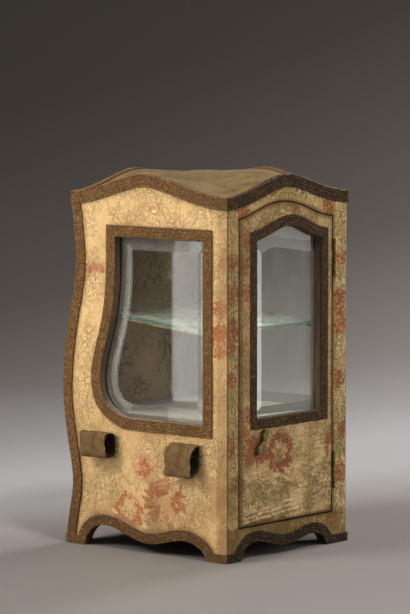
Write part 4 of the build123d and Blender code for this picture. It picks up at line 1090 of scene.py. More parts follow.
# %% The tree that sets the stitches
def stitch_tree(material):
    """A tree that sets grains of thread along the rows of a braid."""
    tree = bpy.data.node_groups.new("braid_stitches", "GeometryNodeTree")
    inputs = {"Geometry": "Geometry", "Pitch": "Float", "Unevenness": "Float", "Scatter": "Float", "Seed": "Int"}
    for name, kind in inputs.items():
        tree.interface.new_socket(name, in_out="INPUT", socket_type=f"NodeSocket{kind}")
    tree.interface.new_socket("Geometry", in_out="OUTPUT", socket_type="NodeSocketGeometry")
    graph = Graph(tree)
    given = graph.node("NodeGroupInput")
    lines = graph.node("GeometryNodeMeshToCurve", {}, {"Mesh": given.out("Geometry")})
    rows = graph.node("GeometryNodeResampleCurve", {"mode": "LENGTH"}, {"Curve": lines, "Length": given.out("Pitch")})
    uneven = given.out("Unevenness")

    def stored(name, kind):
        return graph.node("GeometryNodeInputNamedAttribute", {"data_type": kind}, {"Name": name})

    def random(low, high, offset):
        return graph.node("FunctionNodeRandomValue", {"data_type": "FLOAT"},
                          {2: low, 3: high, "Seed": given.out("Seed") + float(offset)}, out=1)

    stand = graph.node("FunctionNodeAxesToRotation", {"primary_axis": "Z", "secondary_axis": "X"},
                       {"Primary Axis": stored("out", "FLOAT_VECTOR"),
                        "Secondary Axis": graph.node("GeometryNodeInputTangent")})
    slant = stored("slant", "FLOAT") + stored("wild", "FLOAT") * random(-1.0, 1.0, 1)
    lean = graph.node("FunctionNodeEulerToRotation", {}, {0: graph.join(0.0, 0.0, slant)})
    turned = graph.node("FunctionNodeRotateRotation", {"rotation_space": "LOCAL"}, {0: stand, 1: lean})
    size = graph.node("ShaderNodeVectorMath", {"operation": "SCALE"},
                      {0: stored("grain", "FLOAT_VECTOR"), "Scale": 1.0 + uneven * random(-1.0, 1.0, 2)})
    grain = graph.node("GeometryNodeMeshUVSphere", {}, {"Segments": 6, "Rings": 3, "Radius": 0.5})
    soft = graph.node("GeometryNodeSetShadeSmooth", {}, {"Geometry": grain})
    stitches = graph.node("GeometryNodeInstanceOnPoints", {},
                          {"Points": rows, "Instance": soft, "Rotation": turned, "Scale": size})
    scatter = given.out("Scatter")
    shift = graph.join(scatter * random(-1.0, 1.0, 4), scatter * random(-1.0, 1.0, 5), scatter * random(-0.5, 0.5, 6))
    loosened = graph.node("GeometryNodeTranslateInstances", {}, {"Instances": stitches, "Translation": shift})
    shaded = graph.node("GeometryNodeStoreNamedAttribute", {"data_type": "FLOAT", "domain": "INSTANCE"},
                        {"Geometry": loosened, "Name": "shade", "Value": random(0.0, 1.0, 3)})
    real = graph.node("GeometryNodeRealizeInstances", {}, {"Geometry": shaded})
    dressed = graph.node("GeometryNodeSetMaterial", {}, {"Geometry": real, "Material": material})
    graph.node("NodeGroupOutput", {}, {"Geometry": dressed})
    print(f"{tree.name}: {len(tree.nodes)} nodes")
    return tree


# %% Set the stitches
def stitched(name, braid, tree, body, seed, pitch=1.5, uneven=0.28, scatter=0.3):
    """The stitches of a gathered braid, as one plain mesh that rides on a body."""
    mesh = bpy.data.meshes.new(f"{name}_rows")
    mesh.from_pydata((np.array(braid.points) * MM).tolist(), braid.edges, [])
    write(mesh, out=np.array(braid.out), slant=np.array(braid.slant), wild=np.array(braid.wild),
          grain=np.array(braid.grain) * MM)
    rows = placed(f"{name}_rows", mesh)
    modifier = rows.modifiers.new("stitches", "NODES")
    modifier.node_group = tree
    sockets = {item.name: item.identifier for item in tree.interface.items_tree if item.in_out == "INPUT"}
    for label, value in (("Pitch", pitch * MM), ("Unevenness", uneven), ("Scatter", scatter * MM), ("Seed", seed)):
        modifier[sockets[label]] = value
    made = bpy.data.meshes.new_from_object(rows.evaluated_get(bpy.context.evaluated_depsgraph_get()))
    bpy.data.objects.remove(rows)
    piece = placed(name, made)
    made.name = name
    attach(piece, body)
    print(f"{name}: {len(made.polygons)} faces")
    return piece


# %% [markdown]
# ## Tarnished metal thread
# The braid was gilt once. What is left is a dull bronze with dark grime between the threads and a few bright rubbed
# places, which also serve as painted glints. Ground and stitches share one recipe, and the ground is darker, because
# grime settles there. Dust lies on what looks upwards and is lighter there as a painted highlight, and the bands on
# the front are a darker copy of the braid, as painted shade.

# %% Finish of the galloon
def millimetres(graph):
    """A point of the object, in millimetres."""
    place = graph.node("ShaderNodeTexCoord", out="Object")
    return graph.node("ShaderNodeVectorMath", {"operation": "SCALE"}, {0: place, "Scale": 1000.0})


# dust on what looks upwards, which is also lighter there as a painted highlight
DUST_AND_SHEEN = (0.32, 0.28, 0.23)
LOW_DARKENING = (62.0, 20.0)  # heights where the braid begins to blacken and is blackest


def metal_thread(dull, bright, dark, gloss):
    """A recipe for tarnished metal thread. Its bright specks and grains are rubbed places and also painted glints,
    and what looks upwards has dust, lighter there as a painted highlight.
    """

    def build(graph):
        shade = graph.attribute("shade", "Fac")
        place = millimetres(graph)
        speckle = graph.noise(place, 1.1, 2.0, 0.7)
        cloud = graph.noise(place, 11.0, 2.0)
        up = graph.split(graph.node("ShaderNodeNewGeometry", out="Normal"))[2]
        foot = graph.split(place)[2].step(*LOW_DARKENING) * (1 - 0.6 * shade.step(0.8, 0.9)) * 0.72
        # bright specks and grains: rubbed metal, and painted glints
        yarn = graph.layers(dull, (speckle.step(0.45, 0.7) * 0.4, bright), (shade.step(0.82, 0.9) * 0.75, bright),
                            (shade.step(0.35, 0.25) * 0.75, dark), ((cloud.step(0.45, 0.75) * 0.35).most(foot), dark),
                            # dust, and a painted highlight, on what looks upwards
                            (up.step(0.6, 0.95) * 0.6 * speckle.step(0.3, 0.6), DUST_AND_SHEEN))
        return {"Base Color": yarn, "Roughness": gloss + 0.25 * (1 - speckle),
                "Metallic": 0.1 + 0.3 * shade.step(0.7, 0.95), "Normal": graph.bump(speckle, 0.2 * MM, 0.6)}

    return build


GILT, GILT_RUBBED_GLINT, GILT_DIRT = (0.235, 0.115, 0.032), (0.40, 0.235, 0.085), (0.10, 0.048, 0.015)
# a darker copy of the gilt colours for the front's bands, as painted shade, with rubbed places, painted glints and
# grime
SHADED_BROWN, SHADED_RUBBED_GLINT, SHADED_DIRT = (0.075, 0.036, 0.011), (0.24, 0.145, 0.06), (0.020, 0.010, 0.004)
braid_ground, braid_thread, shaded_ground, shaded_thread = (
    finish(name, metal_thread(*colours, gloss), Specular_IOR_Level=0.3) for name, colours, gloss in (
        ("galloon_ground", ((0.15, 0.078, 0.026), GILT, GILT_DIRT), 0.55),
        ("galloon_thread", (GILT, GILT_RUBBED_GLINT, GILT_DIRT), 0.45),
        ("shaded_galloon_ground", ((0.06, 0.033, 0.014), SHADED_BROWN, SHADED_DIRT), 0.55),
        ("shaded_galloon_thread", (SHADED_BROWN, SHADED_RUBBED_GLINT, SHADED_DIRT), 0.45)))
# the front's bands take the darker copy: painted shade
SHADED_BANDS = "door_galloon", "front_arch_galloon", "front_roof_galloon"
for name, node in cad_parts.items():
    if name.endswith("galloon"):
        node.data.materials[0] = shaded_ground if name in SHADED_BANDS else braid_ground
        print(f"{name}: {node.data.materials[0].name}")
stitches, shaded_stitches = stitch_tree(braid_thread), stitch_tree(shaded_thread)


# %% [markdown]
# ## Where the galloon runs
# The bands are measured on the model: a window's band lies round its opening, the roof's bands hang from the arched
# edges and fold over them, the back's edges are wrapped on both faces, and one band follows each arch at the feet.

# %% Rows round the windows and the door
def anticlockwise(loop):
    """The loop, turned round if it runs clockwise."""
    x, y = loop.T
    return loop if np.dot(x, np.roll(y, -1)) > np.dot(y, np.roll(x, -1)) else loop[::-1]


def opening_band(braid, face, node, axis, sense, lift):
    """Stitches on a band that runs round an opening."""
    outer, inner = (anticlockwise(spaced(loop, True)) for loop in flat_loops(node, axis, sense)[:2])
    wide = float(np.median(edge_gap([inner], outer)))
    braid.band(face, inner, 0, -wide, lift, closed=True)
    print(f"{node}: a band {wide:.1f} mm wide")


for side, face, sense in (("left", left_face, -1), ("right", right_face, 1)):
    window_band = Braid()
    opening_band(window_band, face, f"{side}_window_galloon", 0, sense, BAND_T)
    stitched(f"{side}_window_stitches", window_band, stitches, "case", seed=3)
door_band = Braid()
opening_band(door_band, front_face, "door_galloon", 1, -1, BAND_T)
door_stitches = stitched("door_stitches", door_band, shaded_stitches, "door", seed=5)

# %% Press the door's braid flat where the lever sweeps over it
LEVER_REACH = 21.0  # from the spindle to the tip of the lever, and a little more
LEVER_GAP = 0.15  # air between the lever and the stitches under it


def press_under(stitches, axle, lever):
    """Presses stitches on the front back behind a lever, wherever it can turn to about its axle."""
    points = stitches.data.vertices
    spots = np.empty(len(points) * 3)
    points.foreach_get("co", spots)
    spots = spots.reshape(-1, 3)
    centre = np.mean(corners(axle), 0) * MM
    swept = np.hypot(spots[:, 0] - centre[0], spots[:, 2] - centre[2]) < LEVER_REACH * MM
    free = (corners(lever)[1][1] + LEVER_GAP) * MM
    print(f"{int((swept & (spots[:, 1] < free)).sum())} points of stitches stood in the lever's way")
    spots[swept, 1] = np.maximum(spots[swept, 1], free)
    points.foreach_set("co", spots.ravel())
    stitches.data.update()


press_under(door_stitches, "latch_spindle", "latch_lever")

# %% Rows on the roof's edges
FOLD_TOP, BAND_FOOT = 1.6, -8.4  # the roof bands' top and foot, from the edge of the wood


class Fold(Face):
    """The top of a folded band: along the edge, and inwards from the band's face."""

    def __init__(self, heights, where):
        super().__init__(2, 0, 1)
        self.heights, self.where = heights, where

    def foot(self, flat):
        height = np.interp(flat[:, 0], self.heights[:, 0], self.heights[:, 1])
        return np.array([self.where(a, i, h) for (a, i), h in zip(flat, height)])


def roof_band(braid, face, crown, where):
    """Stitches on a band that hangs from an arched edge of the roof, and on its fold over the edge."""
    braid.band(face, crown, FOLD_TOP, BAND_FOOT, BAND_T)
    fold = Fold(crown, where)
    for inwards, slant, grain in ((0.9, 35, Braid.CORD), (2.6, -42, Braid.FOLD_STITCH), (4.3, 35, Braid.CORD)):
        run = np.column_stack([crown[:, 0], np.full(len(crown), inwards)])
        braid.row(fold.place(run, FOLD_TOP), fold.normal(run), slant, grain)


BAND_X, BAND_Y = SIDE_X + BAND_T, FRONT_Y - BAND_T
roof = Braid()
roof_band(roof, left_face, side_crown, lambda a, i, h: (-BAND_X + i, a, h))
roof_band(roof, right_face, side_crown, lambda a, i, h: (BAND_X - i, a, h))
roof_band(roof, back_face, front_crown, lambda a, i, h: (a, BACK_TOP_Y + FOLD_TOP - i, h))
stitched("roof_stitches", roof, stitches, "case", seed=7)
front_roof = Braid()
roof_band(front_roof, front_face, front_crown, lambda a, i, h: (a, BAND_Y + i, h))
stitched("front_roof_stitches", front_roof, shaded_stitches, "case", seed=8)

# %% Rows on the back's edges
ON_SIDE, ON_BACK = 7.5, 8.4  # how wide the bands are on the side's and on the back's face
back_path = np.array([(back_y(z), z) for z in np.arange(8, 290, 2.0)])
for side, sign, face in (("left", -1, left_face), ("right", 1, right_face)):
    edges = Braid()
    edges.band(face, back_path, -FOLD_TOP, ON_SIDE, BAND_T)
    upright = np.column_stack([np.full(len(back_path), sign * BAND_X), back_path[:, 1]])
    edges.band(back_face, upright, 0, sign * ON_BACK, FOLD_TOP)
    stitched(f"{side}_back_edge_stitches", edges, stitches, "case", seed=9)

# %% Rows on the arches at the feet
APRON_W = 7.6  # width of the bands over the arches
FOOT_BAND = 7.4  # and of the short ones across the feet
FOOT_SIDE = 6.8  # which start this far from the arch


def arch_path(outline):
    """The arched part of an outline's lower edge, from left to right, without its ends on the ground."""
    near_floor = outline[outline[:, 1] < 1.0]
    feet = near_floor[np.argsort(near_floor[:, 0])]
    middle = int(np.argmax(np.diff(feet[:, 0])))
    path = run_between(outline, feet[middle], feet[middle + 1])
    path = path if path[0, 0] < path[-1, 0] else path[::-1]
    return path[path[:, 1] > 1.1]


back_outline = flat_loops("back_silk", 1, 1, 0.7)[0]
for name, tree, sides in (("side_arch_stitches", stitches, ((left_face, side_outline, BAND_T),
                                                            (right_face, side_outline, BAND_T))),
                          ("front_arch_stitches", shaded_stitches, ((front_face, front_outline, BAND_T),)),
                          ("back_arch_stitches", stitches, ((back_face, back_outline, FOLD_TOP),))):
    arches = Braid()
    for face, outline, lift in sides:
        path = arch_path(anticlockwise(outline))
        arches.band(face, path, -1.0, APRON_W, lift)
        low, high = outline.min(0), outline.max(0)
        for start, end in ((low[0] + 0.5, path[0, 0] - FOOT_SIDE), (path[-1, 0] + FOOT_SIDE, high[0] - 0.5)):
            if end - start > 3:  # a foot too narrow for a stitch has none
                arches.band(face, np.array([(start, 0.0), (end, 0.0)]), 1.0, FOOT_BAND, lift)
    print(f"{name}: from {path[0].round(1)} to {path[-1].round(1)}, top {path[:, 1].max():.1f}")
    stitched(name, arches, tree, "case", seed=11)


# %% [markdown]
# ## Pole loops
# A sedan chair is carried on two poles, and here each pole's place is marked by two loops of stiff, ribbed tape. The
# edges of the tape have frayed and curl a little. Each loop is a strap of cloth again: a flat strip with waves along
# its edges, wrapped round the loop's section, which has rounded bends. Its two ends meet on the case, under the tacks.
# Threads hang out at the mouths, set by the same tree as the braid's stitches.

# %% Bend a strap
REAR_LOOP = [(1.8, 88), (1.8, 97.4), (15.0, 99.7), (15.0, 78.1), (1.8, 79.2), (1.8, 88)]  # outwards, and up
FRONT_LOOP = [(1.8, 87), (1.8, 97.0), (13.2, 91.2), (13.8, 68.4), (1.8, 75.6), (1.8, 87)]
STRAP_T, STRAP_W, BEND = 1.7, 28.0, 4.5  # thickness and width of the tape, and radius of its bends
FRAY = 7.0  # the part of its width along each edge that wavers


def bent(section, radius, parts=6):
    """A section whose corners are rounded."""
    section = [np.array(point, float) for point in section]
    points = [section[0]]
    for before, corner, after in zip(section, section[1:], section[2:]):
        arriving, leaving = corner - before, after - corner
        arriving /= np.linalg.norm(arriving)
        leaving /= np.linalg.norm(leaving)
        start, end = corner - radius * arriving, corner + radius * leaving
        for i in range(parts + 1):
            share = i / parts
            points.append((1 - share) ** 2 * start + 2 * share * (1 - share) * corner + share ** 2 * end)
    return np.array(points + [section[-1]])


class Strap(Face):
    """A strap as a face: distance along the section, and along the case."""

    def __init__(self, section, side, start):
        self.path, self.side, self.start = bent(section, BEND), side, start
        steps = np.linalg.norm(np.diff(self.path, axis=0), axis=1)
        self.reach = np.concatenate([[0], np.cumsum(steps)])
        self.long = float(self.reach[-1])

    def at(self, along):
        """The place in the section at a distance along it."""
        return np.stack([np.interp(along, self.reach, self.path[:, i]) for i in (0, 1)], -1)

    def normal(self, flat):
        along = np.asarray(flat, float)[:, 0]
        way = self.at(np.minimum(along + 0.4, self.long)) - self.at(np.maximum(along - 0.4, 0))
        way /= np.linalg.norm(way, axis=1)[:, None]
        return np.stack([-self.side * way[:, 1], 0 * along, way[:, 0]], -1)

    def foot(self, flat):
        along, wide = flat.T
        spot = self.at(along)
        middle = STRAP_W / 2
        waver = np.array([0.8 * swell(a, self.start, 5, 1, np.sign(w - middle)) for a, w in flat])
        fraying = waver * np.clip(np.abs(wide - middle) / FRAY - 1, 0, 1)
        return np.stack([self.side * (SIDE_X + spot[:, 0]), FRONT_Y - SILK_T + self.start + wide + fraying,
                         spot[:, 1]], -1)


print(f"the rear loops take {Strap(REAR_LOOP, 1, 0).long:.0f} mm of tape, the front ones "
      f"{Strap(FRONT_LOOP, 1, 0).long:.0f} mm")


# %% Weave the tape
def tape(graph):
    """Ribbed tape with a lattice in its weave, mottled and pale along the edges; its inside is near black, as painted
    shade.
    """
    across, height, edge = graph.split(graph.attribute("cloth"))
    flat = graph.join(across, height)
    ribs = (height * (2 * pi / 1.3) + 14.0 * graph.blots(flat, 9.0, 3.0, 0.6)).sin()
    lattice = (across + height).waves(4.6) * (across - height).waves(4.6)
    speckle = graph.blots(flat, 0.8, 2.0, 0.6)
    cloud = graph.blots(flat, 8.0, 2.0)
    yarn = graph.layers((0.125, 0.070, 0.024), (speckle.step(0.4, 0.65) * 0.8, (0.26, 0.155, 0.055)),
                        (lattice.step(0.0, 0.45) * 0.10, (0.24, 0.15, 0.055)),
                        (cloud.step(0.42, 0.72) * 0.5, (0.065, 0.037, 0.015)),
                        (edge.step(1.4, 0.2) * 0.45, (0.33, 0.22, 0.105)),
                        # painted shade on the inside of the loop
                        (graph.attribute("inner", "Fac"), (0.012, 0.008, 0.005)))
    return {"Base Color": yarn, "Roughness": 0.6 + 0.2 * cloud, "Metallic": 0.1 * speckle,
            "Normal": graph.bump(ribs * 0.04 + lattice * 0.2 + speckle * 2.0, 0.4 * MM, 0.8)}


loop_tape = finish("pole_loop_tape", tape, Specular_IOR_Level=0.25)


# %% Make the four loops
def strap_relief(across, height, edge):
    """Ribs and soft waves on a rounded strip."""
    soft = 0.9 * swell(across, height, 7, 9, 2.0)
    ribs = 0.02 * sin(height * 2 * pi / 2.3 + 2.0 * soft)
    return STRAP_T / 2 * rolled(edge, 0.9) + ribs * min(1.0, edge) + soft * 0.5


def strap(name, node, section, side, start):
    """One loop of tape, as a closed strip."""
    face = Strap(section, side, start)
    strip = [rectangle((0, 0), (face.long, STRAP_W))]
    points, triangles = net(strip, 0.9)
    gap = edge_gap(strip, points)
    lift = np.array([strap_relief(a, h, g) for (a, h), g in zip(points, gap)])
    under = -STRAP_T / 2 * np.array([rolled(g, 0.9) for g in gap])
    piece = shell(name, face.place(points, lift), face.place(points, under), triangles)
    # the strap's inner face gets painted shade, near black in the tape's finish
    write(piece.data, cloth=doubled(np.column_stack([points, gap])), inner=np.repeat([0.0, 0.9], len(points)))
    piece.data.materials.append(loop_tape)
    smooth(piece)
    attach(piece, "case")
    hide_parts(node)
    print(f"{name}: {len(triangles)} triangles, {face.long:.0f} mm long")


frays = Braid()
for side, sign in (("left", -1), ("right", 1)):
    for place, section, start in (("rear", REAR_LOOP, 120.4), ("front", FRONT_LOOP, 28.0)):
        strap(f"{side}_{place}_strap", f"{side}_{place}_pole_loop", section, sign, start)
        for mouth in (start - 0.4, start + (STRAP_W + 0.4)):
            for i, (near, high) in enumerate(bent(section, BEND)):
                spot = np.array([sign * (SIDE_X + near), FRONT_Y - SILK_T + mouth, high])
                reach = 7.5 if near < 3 and i % 3 == 0 else 3.0  # a few long threads, close to the case
                frays.row(spot + np.array([[0, -0.6, 0], [0, 0.6, 0]]), np.array([sign * 1.0, 0, 0.5]), 0,
                          (reach, 0.36, 0.36), wild=38)
stitched("pole_loop_frays", frays, shaded_stitches, "case", pitch=1.1, uneven=0.5, scatter=0.6, seed=13)


# %% [markdown]
# ## Wood, brass and glass
# These come from the construction model as they are, and only need finishes. The glass has soft ground bevels in its
# shape. Its shadow would be too dark for clear glass, so a shadow ray passes straight through.

# %% Finish the wood and the brass
GROWTH = 5.0  # distance of the wood's growth rings


def wood(light, dark):
    """A recipe for stained wood whose grain runs upwards."""

    def build(graph):
        place = millimetres(graph)
        x, y, z = graph.split(place)
        warp = graph.noise(place, 30.0, 2.0)
        rings = (x * 0.9 + y * 0.8 + 14.0 * warp + z * 0.05).waves(GROWTH)
        pores = graph.noise(graph.join(x * 2.2, y * 2.2, z * 0.12), 1.0, 2.0)
        timber = graph.layers(light, (rings * 0.3 + 0.35, dark), (pores.step(0.55, 0.75) * 0.4, dark))
        return {"Base Color": timber, "Roughness": 0.62 + 0.1 * pores, "Normal": graph.bump(pores, 0.1 * MM, 0.5)}

    return build


def old_brass(graph):
    """Brass gone dark in clouds, with fine bright scratches."""
    place = millimetres(graph)
    cloud = graph.noise(place, 2.6, 3.0, 0.6)
    fine = graph.noise(place, 0.5, 2.0)
    metal = graph.layers((0.24, 0.165, 0.065), (cloud.step(0.35, 0.65), (0.09, 0.065, 0.03)),
                         (fine.step(0.6, 0.75) * 0.4, (0.40, 0.29, 0.12)))
    return {"Base Color": metal, "Roughness": 0.38 + 0.25 * cloud, "Normal": graph.bump(fine, 0.05 * MM, 0.4)}


carcass_wood = finish("carcass_wood", wood((0.075, 0.04, 0.018), (0.035, 0.018, 0.009)))
brass = finish("old_brass", old_brass, Metallic=0.85)


# %% Finish the glass
CLEAR, GREENISH = (0.95, 0.965, 0.94), (0.80, 0.90, 0.84)
GRIND_LINE = 0.0008  # how soft the line is between clear and ground glass
SHELF_TILT = radians(5.5)


def glazing(name, tint, gloss, film, ground, facing, flat_share, dust_colour=(0.72, 0.74, 0.70), edge_tint=None):
    """Clear glass that lets the lamps through. film is the dust on it. Where its face turns away from facing by
    more than flat_share, it is ground: ground is how milky that makes it, and edge_tint its colour there."""

    def bevelled(graph):
        turned = graph.node("ShaderNodeNewGeometry", out="True Normal")
        straight = 0.0
        for way in facing:
            lined = graph.node("ShaderNodeVectorMath", {"operation": "DOT_PRODUCT"}, {0: turned, 1: way}, out="Value")
            straight = lined.abs().most(straight)
        return straight.step(flat_share + GRIND_LINE, flat_share - GRIND_LINE)

    def build(graph):
        smear = graph.noise(millimetres(graph), 22.0, 3.0, 0.6)
        return {"Roughness": gloss + 0.05 * smear.step(0.5, 0.75),
                "Base Color": graph.mix(bevelled(graph), tint, edge_tint or tint)}

    material = finish(name, build, Transmission_Weight=1.0, IOR=1.5)
    graph = Graph(material.node_tree)
    bevel = bevelled(graph)
    dust = graph.noise(millimetres(graph), 14.0, 3.0, 0.6).step(0.35, 0.8) * film + film * 0.4
    milky = (dust * (1 - bevel)).most(bevel * ground)
    haze = graph.node("ShaderNodeBsdfDiffuse", {}, {"Color": colour(dust_colour)})
    glass = graph.node("ShaderNodeMixShader", {}, {0: milky, 1: principled(material), 2: haze})
    clear = graph.node("ShaderNodeBsdfTransparent", {}, {"Color": colour(tint)})
    shadow = graph.node("ShaderNodeLightPath", out="Is Shadow Ray")
    show(material, graph.node("ShaderNodeMixShader", {}, {0: shadow, 1: glass, 2: clear}))
    return material


pane_glass = glazing("pane_glass", CLEAR, 0.015, 0.004, 0.10, [(1, 0, 0), (0, 1, 0)], 0.9985)
door_glass = glazing("door_pane_glass", CLEAR, 0.015, 0.035, 0.10, [(0, 1, 0)], 0.9985)
shelf_glass = glazing("shelf_glass", GREENISH, 0.02, 0.31, 0.04, [(0, -sin(SHELF_TILT), cos(SHELF_TILT))], 0.9,
                      (0.70, 0.74, 0.68), (0.16, 0.36, 0.28))
FINISHES = {"wood": carcass_wood, "brass": brass, "glass": pane_glass}
for name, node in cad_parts.items():
    slot = node.data.materials[0].name.split(".")[0]
    if slot in FINISHES:
        node.data.materials[0] = shelf_glass if name == "glass_shelf" else FINISHES[slot]
print("finished nodes:", sum(node.data.materials[0] in FINISHES.values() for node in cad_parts.values()))


# %% [markdown]
# ## The door's pane
# The door's glass was ground by hand: its bevel is broad on the left and under the arched top, and narrow on the right.
# The model's bevel is even, so this pane is built again from the model's outline, with a flat field of its own.

# %% Grind the door's pane
FIELD_FOOT = [(-27.5, 252), (-27.5, 124.5), (39.5, 124.5)]  # left top, left and right foot of the field
FIELD_TOP = [(39.5, 249.5), (14, 253.2), (-12.6, 256.8), (-20.5, 254.4), (-27.5, 252)]
EDGE_DROP = 1.6  # the pane is thinner by this at its edge


def shares(path):
    """How far along a path each of its points is, from 0 to 1."""
    reach = np.concatenate([[0], np.cumsum(np.hypot(*np.diff(path, axis=0).T))])
    return reach / reach[-1]


def meshed(name, shape):
    """A new object from a shape under construction."""
    mesh = bpy.data.meshes.new(name)
    shape.to_mesh(mesh)
    shape.free()
    return placed(name, mesh)


def ground_pane(name, node, foot, top, drop):
    """A pane in the front plane, from a node's outline, whose bevel runs up to a flat field."""
    outline = anticlockwise(spaced(flat_loops(node, 1, 1)[0], True))
    first = int(np.argmin(outline[:, 0] - outline[:, 1] / 1000))  # the left top corner
    outline = np.roll(outline, -first, 0)
    arch = np.vstack([outline[3:], outline[:1]])  # from the right top corner back to the left one
    along = [np.interp(shares(arch)[:-1], shares(top), top[:, i]) for i in (0, 1)]
    field = np.vstack([foot, np.stack(along, -1)])
    low, high = corners(node)
    shape = bmesh.new()
    back, edge, flat = ([shape.verts.new(Vector((x, depth, z)) * MM) for x, z in loop]
                        for loop, depth in ((outline, high[1]), (outline, low[1] + drop), (field, low[1])))
    shape.faces.new(back)
    shape.faces.new(flat)
    for first, second in ((back, edge), (edge, flat)):
        for i in range(len(field)):
            shape.faces.new((first[i - 1], first[i], second[i], second[i - 1]))
    bmesh.ops.recalc_face_normals(shape, faces=shape.faces)
    piece = meshed(name, shape)
    piece.data.materials.append(door_glass)
    print(f"{name}: bevel {np.hypot(*(outline - field)[:4].T).round(1)} mm at its corners, {len(field)} points")
    return piece


door_pane = ground_pane("door_bevelled_pane", "door_glass", np.array(FIELD_FOOT), np.array(FIELD_TOP), EDGE_DROP)
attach(door_pane, "door")
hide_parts("door_glass")


# %% [markdown]
# ## Studio
# The case stands on a pale table that curves up into a grey backdrop. A tall soft box stands on the left, a little
# behind the case: it lights the side, and it is also what the side's pane reflects. A lamp on the right throws the
# case's soft shadow to the left, weak broad lights fill the front, and a small card shows in the glass's bevel.

# %% Floor and backdrop
AZIMUTH, PITCH = radians(-49.93), radians(5.158)  # the camera's direction from the case, and its height
HALF_WIDTH = 7.0  # of the floor, in metres, as are the other lengths of the studio
WALL_AT, CURVE = -1.2, 0.9  # where the floor starts to bend up behind the case, and its radius
BLEND_FROM, BLEND_LONG = 0.8, 5.0  # the table's colours start this far before the case, and run over this length
# painted light and shade on the table: darker round the case, a bright band behind it, darker up the backdrop
TABLE_STOPS = ((0.0, (0.375, 0.352, 0.337)), (0.14, (0.312, 0.289, 0.273)), (0.175, (0.325, 0.303, 0.290)),
               (0.225, (0.55, 0.545, 0.567)), (0.27, (0.54, 0.535, 0.556)), (0.33, (0.39, 0.381, 0.388)),
               (0.42, (0.235, 0.223, 0.221)), (0.53, (0.122, 0.110, 0.104)), (0.7, (0.060, 0.053, 0.048)),
               (1.0, (0.027, 0.023, 0.020)))


def sweep():
    """A floor that bends up behind the case, across the camera's view. Its faces look at the case."""
    ahead = Vector((sin(AZIMUTH), -cos(AZIMUTH), 0))
    right = Vector((ahead.y, -ahead.x, 0))
    profile = [(7.0, 1.6), (6.6, 0.5), (6.2, 0.12), (5.6, 0.0), (WALL_AT, 0.0)]  # towards the camera, and up
    profile += [(WALL_AT - CURVE * sin(a), CURVE - CURVE * cos(a)) for a in np.radians(np.arange(5, 91, 5))]
    profile.append((WALL_AT - CURVE, 6.0))
    shape = bmesh.new()
    rows = [[shape.verts.new(ahead * away + right * x + Vector((0, 0, z))) for x in (-HALF_WIDTH, HALF_WIDTH)]
            for away, z in profile]
    for (a, b), (c, d) in zip(rows, rows[1:]):
        shape.faces.new((a, b, d, c))
    shape.normal_update()
    if sum(face.normal.z * face.calc_area() for face in shape.faces) < 0:
        bmesh.ops.reverse_faces(shape, faces=shape.faces)
    floor = meshed("table_and_backdrop", shape)
    smooth(floor)
    return floor


def table(graph):
    """Pale grey on the table with painted light and shade: a little darker round the case, lightest in a band just
    behind it, and darker up the backdrop.
    """
    place = graph.node("ShaderNodeTexCoord", out="Object")
    x, y, z = graph.split(place)
    away = x * -sin(AZIMUTH) + y * cos(AZIMUTH)
    right = (x * cos(AZIMUTH) + y * sin(AZIMUTH)).most(-0.35).least(0.35)
    mottle = graph.noise(place, 0.25, 2.0)
    rise = (away + z * 2.0 - right * 0.75 + 0.08 * (mottle - 0.5) + BLEND_FROM) / BLEND_LONG
    return {"Base Color": graph.node("ShaderNodeValToRGB", {"stops": TABLE_STOPS}, {0: rise}),
            "Roughness": 0.55 + 0.1 * mottle}


def one_sided(material):
    """The same material, clear from behind, so that the case is seen from the far side of the backdrop too."""
    graph = Graph(material.node_tree)
    behind = graph.node("ShaderNodeNewGeometry", out="Backfacing")
    clear = graph.node("ShaderNodeBsdfTransparent")
    show(material, graph.node("ShaderNodeMixShader", {}, {0: behind, 1: principled(material), 2: clear}))
    return material


backdrop = sweep()
backdrop.data.materials.append(one_sided(finish("table", table, Specular_IOR_Level=0.2)))


# %% Lamps
WARM, WHITE = (1.0, 0.96, 0.90), (1.0, 1.0, 1.0)


def soft_box(name, place, aim, wide, tall, power, tint):
    """A lamp that shines from a rectangle towards a place."""
    lamp = bpy.data.lights.new(name, "AREA")
    lamp.shape, lamp.size, lamp.size_y, lamp.energy, lamp.color = "RECTANGLE", wide, tall, power, tint
    holder = placed(name, lamp)
    holder.location = place
    holder.rotation_euler = (Vector(place) - Vector(aim)).to_track_quat("Z", "Y").to_euler()
    print(f"{name}: {power:.0f} W from {tuple(place)}")
    return holder


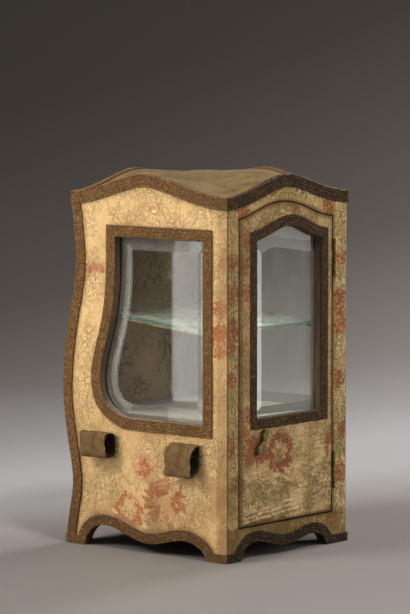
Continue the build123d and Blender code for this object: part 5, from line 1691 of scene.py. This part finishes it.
def spare(lamp, stage):
    """Keeps a lamp that stands on the table from lighting the table, where its edge would draw a line."""
    spared = bpy.data.collections.new(f"{lamp.name}_spares")
    spared.objects.link(stage)
    lamp.light_linking.receiver_collection = spared
    spared.collection_objects[0].light_linking.link_state = "EXCLUDE"


# name, place, aim, width, height, watts and tint of each lamp
ON_TABLE = (("side_soft_box", (-1.0, 0.393, 0.56), (0, 0.055, 0.56), 0.62, 1.12, 7.2, WARM),
            ("rear_soft_box", (-0.86, 1.08, 0.4), (0, 0.045, 0.3), 0.3, 0.8, 2.4, WHITE))
ROUND_TABLE = (("key_light", (-1.7, 0.8, 1.6), (0, 0, 0.25), 0.8, 0.8, 20.5, WARM),
               ("high_soft_box", (-0.6, -1.3, 2.1), (0, 0, 0.2), 0.4, 0.4, 22, WARM),
               ("front_fill", (1.3, -2.2, 0.9), (0, 0, 0.2), 1.2, 1.0, 10, (1.0, 0.97, 0.92)),
               ("right_fill", (2.2, 0.05, 1.0), (-0.6, -0.9, 0), 0.35, 0.35, 30, (1.0, 0.97, 0.94)))
CARD = ("bevel_card", (0.45, -0.71, 0.16), (-0.045, -0.087, 0.16), 0.15, 0.32, 0.7, (0.97, 1.0, 0.93))
for row in ON_TABLE:
    spare(soft_box(*row), backdrop)
for row in ROUND_TABLE:
    soft_box(*row)
spare(soft_box(*CARD), backdrop)
world = bpy.data.worlds.new("studio_air")
world.use_nodes = True
air = world.node_tree.nodes["Background"].inputs
air["Color"].default_value, air["Strength"].default_value = (1.0, 0.95, 0.89, 1.0), 0.26
bpy.context.scene.world = world

# %% Camera
FOCAL_PIXELS, LONG_SIDE = 3314.2, 614
away = Vector((sin(AZIMUTH) * cos(PITCH), -cos(AZIMUTH) * cos(PITCH), sin(PITCH)))
lens = bpy.data.cameras.new("camera")
lens.sensor_width, lens.sensor_fit = 36.0, "AUTO"
lens.lens = FOCAL_PIXELS / LONG_SIDE * lens.sensor_width
camera = placed("camera", lens)
camera.location = (-2.1453, -1.8012, 0.4538)
camera.rotation_euler = away.to_track_quat("Z", "Y").to_euler()
bpy.context.scene.camera = camera
bpy.context.scene.view_settings.view_transform = "Standard"
print(f"lens {lens.lens:.1f} mm")


# %% [markdown]
